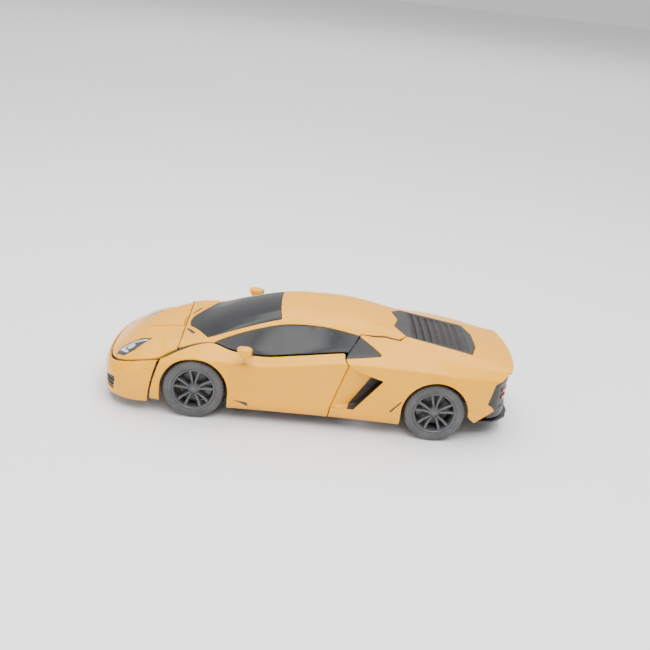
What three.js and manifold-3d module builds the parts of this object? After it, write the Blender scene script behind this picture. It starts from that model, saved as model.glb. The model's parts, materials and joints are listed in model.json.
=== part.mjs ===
// Transforming robot car, about 1:14 size: a wedge-shaped sports car that stands up on its tail.
// Frame: +X forward, +Y left, +Z up, origin on the floor under the middle. Millimetres.
import * as THREE from 'three';
import Module from 'manifold-3d';
import { mergeVertices } from 'three/addons/utils/BufferGeometryUtils.js';

const wasm = await Module();
wasm.setup();

// ---- driving dimensions ----
const WALL = 1.8; // moulded panel thickness
const GLASS = 1.1; // window moulding thickness
const GAP = 0.35; // shut line between two panels
const FRONT_AXLE_X = 91.5;
const REAR_AXLE_X = -101;
const WHEEL_RADIUS = 24.5;
const AXLE_Z = WHEEL_RADIUS;
const ARCH_RADIUS = 27;
const FRONT_TYRE_WIDTH = 17;
const REAR_TYRE_WIDTH = 20;
const FRONT_TYRE_Y = 59;
const REAR_TYRE_Y = 60;
const KINGPIN_Y = 45.5;
const SHAFT_RADIUS = 2;
const HOLE_RADIUS = 2.4;
const TAIL_PIVOT = { x: -149, z: 38 }; // hinge between the drive base and the standing body
const WHEEL_CLEAR_RADIUS = 25; // what the rear wheels leave free around the tail pivot
const TAIL_SWING_RADIUS = 21; // the tail's lower edge stays inside this, to pass over the heel
const CHEST_PIVOT = { x: 92, z: 49 };
const SHOULDER = { x: 130, y: 58 };
const ELBOW = { x: -12, z: 34 };
const HOOD_REAR_X = 106;
const HOOD_SWING_RADIUS = 16.3; // the hood's rear edge lies on this circle about its hinge
const COWL_SWING_RADIUS = 15.9; // and the cowl in front of it on this one

// ---- body section lines: x, half width y, height z at each station ----
const SILL_INNER = [
  [128, 60, 10], [93, 63, 9.5], [41, 63, 9.5], [-20, 63, 9.5],
  [-100, 64, 9.5], [-135, 62, 10.5], [-150, 55, 15], [-168, 48, 18],
];
const SILL = [
  [128, 65, 14], [93, 68.5, 14], [41, 68.5, 15], [-20, 68.5, 15],
  [-100, 70.5, 15], [-135, 66.5, 17], [-150, 60, 20], [-168, 51, 22],
];
const WAIST = [
  [128, 66.5, 30], [93, 70, 36], [41, 68, 33], [-20, 67.5, 36], [-60, 71, 38],
  [-100, 72.7, 40], [-135, 69, 37], [-150, 61.5, 35], [-168, 52.5, 34],
];
const SHOULDER_LINE = [
  [128, 65, 39], [120, 66, 43.5], [107, 67.5, 49.5], [93, 68.5, 52.5], [72, 69, 52],
  [41, 68.3, 50], [-28, 69, 59.5], [-60, 70.5, 60.5], [-100, 71, 59.5],
  [-130, 67.5, 56.5], [-150, 60.5, 53.5], [-168, 52, 53],
];
const BELT = [
  [128, 61, 43], [120, 61.5, 46.5], [107, 57.2, 53.8], [93, 50.5, 58], [80, 49, 59.5],
  [65, 55, 56.5], [41, 60, 55], [10, 60, 58.8], [-24, 58, 63.5], [-55, 55.5, 65],
  [-75, 55, 66], [-100, 56, 65], [-130, 54, 61.5], [-150, 50, 58.5], [-168, 46, 57.5],
];
const ROOF_RAIL = [
  [128, 36, 50.5], [107, 40, 56.5], [89, 43, 59], [58, 40.5, 70.2], [26, 36.5, 79.7],
  [0, 36, 82], [-40, 34, 80.5], [-70, 33, 74.5], [-130, 35.5, 64], [-168, 37, 57],
];
const CENTRE = [
  [128, 0, 51.5], [104, 0, 56.5], [66, 0, 70.5], [28, 0, 82], [0, 0, 84],
  [-40, 0, 82.5], [-70, 0, 75.8], [-136, 0, 63.8], [-168, 0, 57.5],
];
const LINES = [SILL_INNER, SILL, WAIST, SHOULDER_LINE, BELT, ROOF_RAIL, CENTRE];
const ROUNDING = [0.25, 0.35, 0.5, 0.16, 0.22, 0.2, 0]; // share of each neighbour span that is rounded

// ---- outlines; side views are (x, z), plan views are (x, y) ----
const WINDOW_TOP = [
  [79, 59.4], [58.5, 67.4], [44.5, 71.9], [26.5, 76.3], [8.6, 78.1], [-9.5, 77.9], [-24.2, 76.3], [-36.4, 74.4],
];
const SIDE_WINDOW = [...WINDOW_TOP, [-25.8, 61.9], [-22.7, 50], [64, 50], [65, 56.3]];
const ROOF_SIDE_CUT = [...WINDOW_TOP, [-38, 74.4], [-38, 40], [64, 40], [65, 56.3]];
const QUARTER_WINDOW = [[-36.6, 73.9], [-42.3, 71.2], [-54.5, 65], [-53, 64.2], [-25.8, 61.9]];
const DOOR_REAR = [[-15.6, 2], [-17.2, 20.4], [-22, 36.6], [-28.6, 58], [-25.6, 61.6], [-25.6, 70]];
const FENDER_FRONT = [[112, 70], [119.2, 45.9], [124.9, 25], [126.6, 2]];
const SCOOP = [[-17.8, 20.6], [-22.6, 36.6], [-29, 57.3], [-39, 53.4], [-57.5, 48.4], [-36.2, 20.6]];
const TAIL_SIDE = [
  [-166, 90], [-163, 58], [-160.6, 56.8], [-148.3, 50.4], [-143.6, 34.3],
  [-148.5, 30.8], [-150.5, 27], [-141, 18.4], [-136, 17.4],
];
const WINDSHIELD = [[103.7, 0], [95.8, 21.7], [84.6, 42.2], [58, 39], [27, 35], [28.6, 0]];
const ROOF_REAR = [[-70.2, 0], [-65.8, 17.4], [-75.2, 31.2], [-70, 39.3], [-56.9, 39.4], [-48.8, 41.4], [-37, 41.9]];
const ENGINE_COVER = [[-70.2, 0], [-65.8, 17.4], [-75.2, 31.2], [-130.6, 34], [-136.3, 14.2], [-136.3, 0]];
const TAIL_PLAN = [[-169.4, 0], [-168.5, 20], [-166.3, 36], [-162.3, 49], [-160.3, 58]];

// ---- front bumper: edge and mid lines from the fender to the nose ----
const BUMPER_TOP = [
  [120.9, 62.6, 45.6], [127, 63.2, 44.6], [136, 61.5, 42.6], [147, 56, 38.8],
  [157, 47.5, 35], [163.5, 35.5, 32.4], [167.3, 18, 30.9], [168.4, 0, 30.4],
];
const BUMPER_MID = [
  [125.9, 66.6, 25], [131, 66.8, 25], [139, 65.3, 25], [150, 60.5, 24.3],
  [160, 51.5, 23.6], [165.7, 38, 23.2], [168.8, 19, 23], [169.4, 0, 23],
];
const BUMPER_LOW = [
  [128, 64.6, 9.5], [132, 64.6, 9.5], [139, 63.2, 9], [149.5, 58.5, 8.6],
  [159, 49.8, 8.3], [164.5, 36.5, 8], [167.5, 18.5, 8], [168, 0, 8],
];
const HOOD_SIDE = [
  [114, 57.8, 50.6], [120.9, 60.1, 46.9], [127, 60.8, 45.3], [136, 59.2, 43.3], [147, 53.9, 39.5], [155.8, 45.7, 36.2],
];
const HOOD_NOSE = [[155.8, 45.7, 36.2], [161.7, 34.2, 33.4], [165.2, 17.6, 31.8], [166.2, 0, 31.2]];
const HOOD_CROWN = 6.5;
const TAIL_FASCIA = [[-145, 57.5], [-152, 54], [-158, 48], [-162, 39.5], [-164.6, 24], [-165.4, 0]];

// ---- materials ----
const paint = (name, color, roughness, metalness = 0) =>
  Object.assign(new THREE.MeshStandardMaterial({ color, roughness, metalness }), { name });
const bodyYellow = () => paint('body_yellow', 0xf2a51e, 0.3);
const glassBlack = () => paint('smoked_glass', 0x15171a, 0.12);
const trimBlack = () => paint('trim_black', 0x1d1b1a, 0.45);
const frameGrey = () => paint('frame_grey', 0x4a4d52, 0.55);
const rimGrey = () => paint('rim_grey', 0x5b5e63, 0.35, 0.4);
const tyreBlack = () => paint('tyre_black', 0x202022, 0.85);
const steel = () => paint('steel', 0xb9bcc0, 0.3, 1);
const lampClear = () => paint('lamp_clear', 0xd8e4ea, 0.1);
const lampRed = () => paint('lamp_red', 0xa01410, 0.2);
const visorBlue = () => paint('visor_blue', 0x1f7fd0, 0.15);
const robotRed = () => paint('robot_red', 0x8e1b17, 0.35);
const boardGreen = () => paint('board_green', 0x1f6b3a, 0.5);

// ---- geometry helpers ----
// Smooth value through stations [x, ...values], as a function of x.
function stationCurve(stations) {
  const rows = [...stations].sort((a, b) => a[0] - b[0]);
  const slope = rows.slice(1).map((row, i) => row.slice(1).map((v, k) => (v - rows[i][k + 1]) / (row[0] - rows[i][0])));
  const tangent = rows.map((row, i) => {
    if (i === 0) return slope[0];
    if (i === rows.length - 1) return slope[i - 1];
    const before = row[0] - rows[i - 1][0];
    const after = rows[i + 1][0] - row[0];
    return slope[i].map((s, k) => (slope[i - 1][k] * after + s * before) / (before + after));
  });
  return (x) => {
    const at = Math.min(Math.max(x, rows[0][0]), rows[rows.length - 1][0]);
    let i = 0;
    while (i < rows.length - 2 && at >= rows[i + 1][0]) i += 1;
    const span = rows[i + 1][0] - rows[i][0];
    const t = (at - rows[i][0]) / span;
    const a = (1 + 2 * t) * (1 - t) ** 2;
    const b = t * (1 - t) ** 2 * span;
    const c = t * t * (3 - 2 * t);
    const d = t * t * (t - 1) * span;
    return slope[0].map((_, k) => a * rows[i][k + 1] + b * tangent[i][k] + c * rows[i + 1][k + 1] + d * tangent[i + 1][k]);
  };
}

const lineCurves = LINES.map(stationCurve);

// Point on the left half of the body skin: v runs from 0, the inner sill, to 6, the centre line.
function skin(x, v) {
  const points = lineCurves.map((curve) => curve(x));
  const mix = (a, b, t) => [a[0] + (b[0] - a[0]) * t, a[1] + (b[1] - a[1]) * t];
  const nearest = Math.round(v);
  const width = ROUNDING[nearest];
  let p;
  if (nearest > 0 && nearest < 6 && Math.abs(v - nearest) < width) {
    const from = mix(points[nearest], points[nearest - 1], width);
    const to = mix(points[nearest], points[nearest + 1], width);
    const t = (v - nearest + width) / (2 * width);
    p = mix(mix(from, points[nearest], t), mix(points[nearest], to, t), t);
  } else {
    const i = Math.min(Math.floor(v), 5);
    p = mix(points[i], points[i + 1], v - i);
  }
  return new THREE.Vector3(x, p[0], p[1]);
}

// The same skin across both halves: q runs from -6 (right inner sill) through 0 (centre) to 6.
function skinAcross(x, q) {
  const p = skin(x, 6 - Math.abs(q));
  return q < 0 ? p.setY(-p.y) : p;
}

function closedGeometry(positions, triangles) {
  const geometry = new THREE.BufferGeometry();
  geometry.setAttribute('position', new THREE.Float32BufferAttribute(positions, 3));
  geometry.setIndex(triangles);
  return outward(geometry);
}

// Turns a closed mesh so that its faces point out.
function outward(geometry) {
  const p = geometry.attributes.position;
  const index = geometry.index.array;
  const a = new THREE.Vector3();
  const b = new THREE.Vector3();
  const c = new THREE.Vector3();
  let volume = 0;
  for (let i = 0; i < index.length; i += 3) {
    a.fromBufferAttribute(p, index[i]);
    b.fromBufferAttribute(p, index[i + 1]);
    c.fromBufferAttribute(p, index[i + 2]);
    volume += a.dot(b.cross(c));
  }
  if (volume < 0) {
    const flipped = Array.from(index);
    for (let i = 0; i < flipped.length; i += 3) {
      [flipped[i + 1], flipped[i + 2]] = [flipped[i + 2], flipped[i + 1]];
    }
    geometry.setIndex(flipped);
  }
  return geometry;
}

// A wall of even thickness behind the surface at(u, w), 0..1 each way; side picks which way it grows,
// along the surface normal or, where it is given, along one fixed direction.
function wallPatch(at, columns, rows, thickness = WALL, side = 1, offset = 0, direction = null) {
  const positions = [];
  const triangles = [];
  const step = 1e-3;
  const outer = [];
  const inner = [];
  for (let i = 0; i <= columns; i += 1) {
    for (let j = 0; j <= rows; j += 1) {
      const u = i / columns;
      const w = j / rows;
      const du = at(Math.min(u + step, 1), w).sub(at(Math.max(u - step, 0), w));
      const dw = at(u, Math.min(w + step, 1)).sub(at(u, Math.max(w - step, 0)));
      const normal = direction ? direction.clone() : du.cross(dw).normalize().multiplyScalar(side);
      const point = at(u, w);
      outer.push(point.clone().addScaledVector(normal, offset));
      inner.push(point.clone().addScaledVector(normal, offset + thickness));
    }
  }
  [...outer, ...inner].forEach((point) => positions.push(point.x, point.y, point.z));
  const half = outer.length;
  const id = (i, j, back) => i * (rows + 1) + j + (back ? half : 0);
  const quad = (a, b, c, d) => triangles.push(a, b, c, a, c, d);
  for (let i = 0; i < columns; i += 1) {
    for (let j = 0; j < rows; j += 1) {
      quad(id(i, j), id(i + 1, j), id(i + 1, j + 1), id(i, j + 1));
      quad(id(i, j, 1), id(i, j + 1, 1), id(i + 1, j + 1, 1), id(i + 1, j, 1));
    }
    quad(id(i, 0), id(i, 0, 1), id(i + 1, 0, 1), id(i + 1, 0));
    quad(id(i, rows), id(i + 1, rows), id(i + 1, rows, 1), id(i, rows, 1));
  }
  for (let j = 0; j < rows; j += 1) {
    quad(id(0, j), id(0, j + 1), id(0, j + 1, 1), id(0, j, 1));
    quad(id(columns, j), id(columns, j, 1), id(columns, j + 1, 1), id(columns, j + 1));
  }
  return closedGeometry(positions, triangles);
}

const shapeOf = (outline) => new THREE.Shape(outline.map(([a, b]) => new THREE.Vector2(a, b)));
const extruded = (outline, depth) => new THREE.ExtrudeGeometry(shapeOf(outline), { depth, bevelEnabled: false });
// Outline given in plan, standing from z0 to z1.
const planPrism = (outline, z0, z1) => extruded(outline, z1 - z0).translate(0, 0, z0);
// Outline given in side view, running across from y0 to y1.
const sidePrism = (outline, y0, y1) => extruded(outline, y1 - y0).rotateX(Math.PI / 2).translate(0, y1, 0);
// Outline given from the front as (y, z), running from x0 to x1.
const frontPrism = (outline, x0, x1) => extruded(outline, x1 - x0).rotateX(Math.PI / 2).rotateZ(Math.PI / 2).translate(x0, 0, 0);
const block = (x0, x1, y0, y1, z0, z1) =>
  new THREE.BoxGeometry(x1 - x0, y1 - y0, z1 - z0).translate((x0 + x1) / 2, (y0 + y1) / 2, (z0 + z1) / 2);
const rodY = (x, z, radius, y0, y1, sides = 12) =>
  new THREE.CylinderGeometry(radius, radius, y1 - y0, sides).translate(x, (y0 + y1) / 2, z);
const rodZ = (x, y, radius, z0, z1, sides = 12) =>
  new THREE.CylinderGeometry(radius, radius, z1 - z0, sides).rotateX(Math.PI / 2).translate(x, y, (z0 + z1) / 2);
const rodX = (y, z, radius, x0, x1, sides = 12) =>
  new THREE.CylinderGeometry(radius, radius, x1 - x0, sides).rotateZ(Math.PI / 2).translate((x0 + x1) / 2, y, z);

// Adds the other half of an outline whose first and last points lie on the centre line.
const bothHalves = (outline) => {
  const other = outline.map(([x, y]) => [x, -y]).reverse();
  const keep = other.filter(([, y]) => y !== 0);
  return [...outline, ...keep];
};

// Grows (or, if negative, shrinks) an outline by a distance along its edge normals.
function grown(outline, distance) {
  const area = outline.reduce((sum, [x, y], i) => {
    const [nx, ny] = outline[(i + 1) % outline.length];
    return sum + x * ny - nx * y;
  }, 0);
  const turn = Math.sign(area);
  return outline.map((point, i) => {
    const before = outline[(i + outline.length - 1) % outline.length];
    const after = outline[(i + 1) % outline.length];
    const n1 = new THREE.Vector2(point[1] - before[1], before[0] - point[0]).normalize().multiplyScalar(turn);
    const n2 = new THREE.Vector2(after[1] - point[1], point[0] - after[0]).normalize().multiplyScalar(turn);
    const reach = distance / Math.max(0.35, 1 + n1.dot(n2));
    return [point[0] + (n1.x + n2.x) * reach, point[1] + (n1.y + n2.y) * reach];
  });
}

// The same mesh with positions only and its shared vertices merged.
function bare(geometry) {
  const copy = geometry.clone();
  copy.deleteAttribute('normal');
  copy.deleteAttribute('uv');
  return mergeVertices(copy, 1e-4);
}

function solid(geometry) {
  const merged = bare(geometry);
  return new wasm.Manifold(new wasm.Mesh({
    numProp: 3,
    vertProperties: new Float32Array(merged.attributes.position.array),
    triVerts: new Uint32Array(merged.index.array),
  }));
}

function geometryOf(manifold) {
  const mesh = manifold.getMesh();
  return closedGeometry(Array.from(mesh.vertProperties), Array.from(mesh.triVerts));
}

const joined = (first, ...rest) => geometryOf(rest.reduce((sum, g) => sum.add(solid(g)), solid(first)));
const cut = (first, ...rest) => geometryOf(rest.reduce((sum, g) => sum.subtract(solid(g)), solid(first)));
const common = (first, ...rest) => geometryOf(rest.reduce((sum, g) => sum.intersect(solid(g)), solid(first)));

const mirrored = (geometry) => outward(bare(geometry).scale(1, -1, 1));

const group = new THREE.Group();
const add = (name, geometry, material, parent = group) => {
  const mesh = new THREE.Mesh(geometry, material);
  mesh.name = name;
  parent.add(mesh);
  return mesh;
};
const addPair = (name, geometry, material) => {
  add(`${name}_left`, geometry, material());
  add(`${name}_right`, mirrored(geometry), material());
};

// Wheel arch: round above the axle, straight down below it.
const archOutline = (x) => {
  const top = Array.from({ length: 17 }, (_, i) => {
    const angle = (i / 16) * Math.PI;
    return [x + ARCH_RADIUS * Math.cos(angle), AXLE_Z + ARCH_RADIUS * Math.sin(angle)];
  });
  return [...top, [x - ARCH_RADIUS, 0], [x + ARCH_RADIUS, 0]];
};

// ---- side panels ----
const sideSkin = (x0, x1, v0, v1) => (u, w) => skin(x0 + (x1 - x0) * u, v0 + (v1 - v0) * w);

// Front fender and door in one moulding.
function sidePanel() {
  const outline = [...FENDER_FRONT, ...DOOR_REAR];
  const sheet = wallPatch(sideSkin(-30, 127, 0.15, 3.98), 16, 8);
  return cut(common(sheet, sidePrism(outline, 40, 80)), sidePrism(archOutline(FRONT_AXLE_X), 40, 80));
}

// Lower edge behind the rear wheel: an arc about the tail pivot, so the wheel swings past it.
function wheelClearArc() {
  return [17.4, 20, 22.3].map((z) => {
    const drop = TAIL_PIVOT.z - z;
    return [TAIL_PIVOT.x + Math.sqrt(WHEEL_CLEAR_RADIUS ** 2 - drop ** 2), z];
  });
}

function rearQuarter() {
  const doorEdge = DOOR_REAR.slice(0, 5).map(([x, z]) => [x - 0.5, z]).reverse();
  const outline = [
    [-37.2, 90], [-37.2, 74.6], ...doorEdge,
    [REAR_AXLE_X + ARCH_RADIUS, 2], [REAR_AXLE_X + ARCH_RADIUS, AXLE_Z], [REAR_AXLE_X - ARCH_RADIUS, AXLE_Z],
    ...wheelClearArc().reverse(), ...[...TAIL_SIDE].reverse(),
  ];
  const sheet = wallPatch(sideSkin(-167.5, -15, 0.15, 5.1), 15, 10);
  const roofPlan = [...ROOF_REAR, [-37, 80], [60, 80], [60, 0]];
  const tailPlan = [...TAIL_PLAN, [-140, 90], [0, 90], [0, 0]];
  const trimmed = common(sheet, sidePrism(outline, 20, 80), planPrism(tailPlan, 0, 90));
  return cut(
    trimmed,
    sidePrism(grown(QUARTER_WINDOW, GAP), 30, 80),
    sidePrism(grown(SCOOP, GAP), 40, 80),
    planPrism(grown(roofPlan, GAP), 66, 90),
    planPrism(grown(bothHalves(ENGINE_COVER), GAP), 50, 90),
    sidePrism(archOutline(REAR_AXLE_X), 40, 80),
  );
}

// Recessed side intake: the floor sinks towards the rear and its edges come back up to the skin.
function scoopPoint(u, w) {
  const front = [[-18.3, 21.1], [-23.1, 36.8], [-29.4, 56.7]];
  const back = [[-36.5, 21.1], [-56.4, 47.7]];
  const lower = w < 0.5;
  const f = lower ? 2 * w : 2 * w - 1;
  const a = lower ? front[0] : front[1];
  const b = lower ? front[1] : front[2];
  const frontX = a[0] + (b[0] - a[0]) * f;
  const frontZ = a[1] + (b[1] - a[1]) * f;
  const x = frontX + (back[0][0] + (back[1][0] - back[0][0]) * w - frontX) * u;
  const z = frontZ + (back[0][1] + (back[1][1] - back[0][1]) * w - frontZ) * u;
  const edge = Math.min(1, Math.sin(Math.PI * w) * 4);
  const p = skin(x, skinHeightAt(x, z));
  return p.setY(p.y - 0.4 - 8.5 * u * edge);
}

// The v at which the left skin passes height z, on the side below the roof rail.
function skinHeightAt(x, z) {
  let low = 0;
  let high = 4.9;
  for (let i = 0; i < 30; i += 1) {
    const middle = (low + high) / 2;
    if (skin(x, middle).z < z) low = middle;
    else high = middle;
  }
  return (low + high) / 2;
}

// ---- roof, glass and rear covers ----
const acrossSkin = (x0, x1, q0, q1) => (u, w) => skinAcross(x0 + (x1 - x0) * u, q0 + (q1 - q0) * w);

function roofShell() {
  const sheet = wallPatch(acrossSkin(-76, 107.6, 1.95, -1.95), 15, 12);
  const plan = bothHalves([...ROOF_REAR, [-37, 70], [102, 70], [104.2, 55.5], [110, 52], [110, 0]]);
  const hinge = rodY(CHEST_PIVOT.x, CHEST_PIVOT.z, COWL_SWING_RADIUS, -70, 70, 64);
  const cowlFront = cut(block(103, 120, -70, 70, 40, 70), hinge);
  return cut(
    common(sheet, planPrism(plan, 30, 90)),
    cowlFront,
    planPrism(bothHalves(WINDSHIELD), 40, 90),
    sidePrism(ROOF_SIDE_CUT, 25, 80),
    sidePrism(ROOF_SIDE_CUT, -80, -25),
  );
}

const windshield = () => common(
  wallPatch(acrossSkin(26, 104, 1.3, -1.3), 6, 6, GLASS),
  planPrism(grown(bothHalves(WINDSHIELD), -GAP), 40, 90),
);
const sideWindow = () => common(
  wallPatch(sideSkin(-38, 80, 4.01, 5.1), 10, 2, GLASS),
  sidePrism(grown(SIDE_WINDOW, -GAP), 25, 80),
);
const quarterWindow = () => common(
  wallPatch(sideSkin(-56, -24, 3.4, 4.9), 3, 3, GLASS),
  sidePrism(grown(QUARTER_WINDOW, -0.1), 25, 80),
);
const engineCover = () => common(
  wallPatch(acrossSkin(-137, -65, 1.2, -1.2), 5, 4),
  planPrism(grown(bothHalves(ENGINE_COVER), -GAP / 2), 40, 90),
);
const rearDeck = () => cut(
  common(
    wallPatch(acrossSkin(-169.4, -128, 0.86, -0.86), 4, 6),
    planPrism(bothHalves([...TAIL_PLAN, [-100, 58], [-100, 0]]), 30, 90),
  ),
  planPrism(grown(bothHalves(ENGINE_COVER), GAP), 40, 90),
);

// ---- nose ----
const through = (points) => new THREE.CatmullRomCurve3(points.map(([x, y, z]) => new THREE.Vector3(x, y, z)), false, 'centripetal');
const bumperTop = through(BUMPER_TOP);
const bumperMid = through(BUMPER_MID);
const bumperLow = through(BUMPER_LOW);
const hoodSide = through([skin(HOOD_REAR_X, 4.1).toArray(), ...HOOD_SIDE]);
const hoodNose = through(HOOD_NOSE);

// Point on the bumper: t from -1, the right fender, to 1, the left one; h from 0, the lip, to 1.
function bumperPoint(t, h) {
  const along = 1 - Math.abs(t);
  const low = bumperLow.getPoint(along);
  const mid = bumperMid.getPoint(along);
  const top = bumperTop.getPoint(along);
  const middle = 0.42;
  const p = low.multiplyScalar(((h - middle) * (h - 1)) / middle)
    .add(mid.multiplyScalar((h * (h - 1)) / (middle * (middle - 1))))
    .add(top.multiplyScalar((h * (h - middle)) / (1 - middle)));
  return t < 0 ? p.setY(-p.y) : p;
}

// Point on the hood: u from the cowl to the nose, w from -1, the right edge, to 1.
function hoodPoint(u, w) {
  const rear = skinAcross(HOOD_REAR_X, 1.9 * w);
  const nose = hoodNose.getPoint(1 - Math.abs(w));
  const side = hoodSide.getPoint(u);
  if (w < 0) nose.setY(-nose.y);
  const corner = (across) => {
    const a = skinAcross(HOOD_REAR_X, 1.9 * across).multiplyScalar(1 - u);
    const b = hoodNose.getPoint(0).multiplyScalar(u);
    return a.add(across < 0 ? b.setY(-b.y) : b);
  };
  const left = side.clone().sub(corner(1)).multiplyScalar((1 + w) / 2);
  const right = side.clone().setY(-side.y).sub(corner(-1)).multiplyScalar((1 - w) / 2);
  const p = rear.multiplyScalar(1 - u).add(nose.multiplyScalar(u)).add(left).add(right);
  p.z += HOOD_CROWN * Math.sin(Math.PI * u) * Math.cos((Math.PI / 2) * w);
  return p;
}

const HEADLIGHT = [[136, 44], [152, 31.5], [159.5, 34], [149, 46.5]];
const headlightPlan = (amount) => planPrism(grown(HEADLIGHT, amount), 20, 60);

function hood() {
  const swing = rodY(CHEST_PIVOT.x, CHEST_PIVOT.z, HOOD_SWING_RADIUS, -70, 70, 64);
  const sheet = cut(wallPatch((u, w) => hoodPoint(u, 2 * w - 1), 7, 12, WALL, -1), swing);
  const arm = sidePrism([
    [88.8, 47.6], [91, 45], [97, 39.4], [104, 36], [112, 36], [117.5, 44], [117.5, 52.3], [113, 52.8],
    [111, 46], [108.5, 41.5], [103, 40.3], [97, 45.5], [95.3, 49], [94, 52], [90, 52], [88.8, 50],
  ], 34, 37);
  const hinged = joined(sheet, arm, mirrored(arm));
  const hole = rodY(CHEST_PIVOT.x, CHEST_PIVOT.z, HOLE_RADIUS - 0.3, -38, 38);
  return cut(hinged, hole, headlightPlan(GAP / 2), mirrored(headlightPlan(GAP / 2)));
}

const headlight = () => common(
  wallPatch((u, w) => hoodPoint(u, 2 * w - 1), 7, 12, WALL, -1),
  headlightPlan(-GAP / 2),
);

const INTAKE_SIDE = [[24, 12.5], [54, 12.5], [57, 25], [46, 23], [30, 17.5]];
const INTAKE_MIDDLE = [[-19, 12], [19, 12], [23, 18], [-23, 18]];

function frontBumper() {
  const sheet = wallPatch((u, w) => bumperPoint(2 * u - 1, w), 20, 5, WALL, -1);
  const opening = frontPrism(INTAKE_SIDE, 140, 175);
  return cut(sheet, opening, mirrored(opening), frontPrism(INTAKE_MIDDLE, 150, 175));
}

const grilleMesh = () => wallPatch((u, w) => bumperPoint(1.3 * u - 0.65, 0.12 + 0.6 * w), 10, 2, 1.2, -1, WALL + 0.5);

// ---- tail ----
const fasciaCurve = through(TAIL_FASCIA.map(([x, y]) => [x, y, 0]));
function fasciaPoint(t, h) {
  const p = fasciaCurve.getPoint(1 - Math.abs(t));
  p.z = 18.6 + 34.4 * h * (0.6 + 0.4 * h);
  const drop = TAIL_PIVOT.z - p.z;
  if (drop > 0) p.x = Math.max(p.x, TAIL_PIVOT.x - Math.sqrt(TAIL_SWING_RADIUS ** 2 - drop ** 2));
  return t < 0 ? p.setY(-p.y) : p;
}

function tailFascia() {
  const sheet = wallPatch((u, w) => fasciaPoint(2 * u - 1, w), 12, 3, 2, 1);
  const outlet = cut(
    frontPrism([[-10, 33], [-7, 29], [7, 29], [10, 33], [7, 37], [-7, 37]], -167, -163.5),
    frontPrism([[-8, 33], [-5.9, 30.4], [5.9, 30.4], [8, 33], [5.9, 35.6], [-5.9, 35.6]], -169, -164.6),
  );
  return joined(sheet, outlet);
}

const tailLight = () => wallPatch((u, w) => fasciaPoint(0.42 + 0.34 * u, 0.66 + 0.2 * w), 4, 1, 1.2, -1, 0.3);

// ---- drive base: gearbox between the rear wheels, hinge ears and heel ----
function driveHousingLower() {
  const tub = cut(block(-128, -72, -34, 34, 9, 24.3), block(-126, -74, -32, 32, 11, 30));
  const axleHole = rodY(REAR_AXLE_X, AXLE_Z, HOLE_RADIUS, -40, 40);
  const heelBeam = block(-150, -127, -12, 12, 10.5, 14.5);
  return cut(joined(tub, heelBeam), axleHole, block(-100, -70, -9, 9, 8, 9.6));
}

function driveHousingUpper() {
  const cap = cut(block(-128, -72, -34, 34, 24.7, 40), block(-126, -74, -32, 32, 20, 38));
  const ear = joined(
    sidePrism([[-149, 31.5], [-127, 31.5], [-127, 40], [-136, 44], [-149, 44.5]], 27, 33),
    rodY(TAIL_PIVOT.x, TAIL_PIVOT.z, 6.5, 27, 33, 24),
  );
  const axleHole = rodY(REAR_AXLE_X, AXLE_Z, HOLE_RADIUS, -40, 40);
  const pinHole = rodY(TAIL_PIVOT.x, TAIL_PIVOT.z, HOLE_RADIUS, -50, 50);
  return cut(joined(cap, ear, mirrored(ear)), axleHole, pinHole);
}

function rearDiffuser() {
  const outline = [[-151, 10.2], [-151, 4.5], [-160, 6.5], [-167, 12], [-166, 15.6], [-138, 15.6], [-136.5, 14.8], [-145, 14.8], [-145, 10.2]];
  const bodyPlan = [[-167.5, 30], [-163, 44], [-152, 55], [-136, 59], [-136, -59], [-152, -55], [-163, -44], [-167.5, -30]];
  const plate = common(sidePrism([[-170, 14.9], [-136, 14.9], [-136, 16.2], [-170, 16.2]], -60, 60), planPrism(bodyPlan, 0, 30));
  const fin = (y) => common(sidePrism(outline, y - 1, y + 1), planPrism(bodyPlan, 0, 30));
  return joined(plate, ...[-34, -20, 20, 34].map(fin));
}

const wheelRing = (profile) => new THREE.LatheGeometry(profile.map(([r, y]) => new THREE.Vector2(r, y)), 24);

// Tyre of a given width, centred on the origin, turning about Y.
function tyre(width) {
  const h = width / 2;
  const R = WHEEL_RADIUS;
  return wheelRing([
    [17.3, -h + 1], [19, -h], [R - 1.6, -h + 0.4], [R, -h + 2.4], [R, h - 2.4],
    [R - 1.6, h - 0.4], [19, h], [17.3, h - 1], [17.3, -h + 1],
  ]);
}

// Open five-arm rim; its face is on the +Y side.
function rim(width) {
  const h = width / 2;
  const barrel = wheelRing([[15.2, -h + 1.5], [17, -h + 1.5], [17, h - 1], [15.2, h - 1], [15.2, -h + 1.5]]);
  const hub = rodY(0, 0, 4.6, -h + 1.5, h - 2.2, 12);
  const arms = [];
  for (let i = 0; i < 5; i += 1) {
    const arm = sidePrism([[3, -1.8], [16, -3.6], [16, -1.2], [6, 0], [16, 1.2], [16, 3.6], [3, 1.8]], h - 5.2, h - 2.2);
    arms.push(arm.rotateY((i * 2 * Math.PI) / 5));
  }
  return cut(joined(barrel, hub, ...arms), rodY(0, 0, HOLE_RADIUS, -h - 1, h - 4.5, 12));
}

function wheel(side, x, y, width, place) {
  const at = new THREE.Group();
  at.position.set(x, side * y, AXLE_Z);
  if (side < 0) at.rotation.z = Math.PI;
  add(`${place}_tyre_${side > 0 ? 'left' : 'right'}`, tyre(width), tyreBlack(), at);
  add(`${place}_rim_${side > 0 ? 'left' : 'right'}`, rim(width), rimGrey(), at);
  group.add(at);
}

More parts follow.
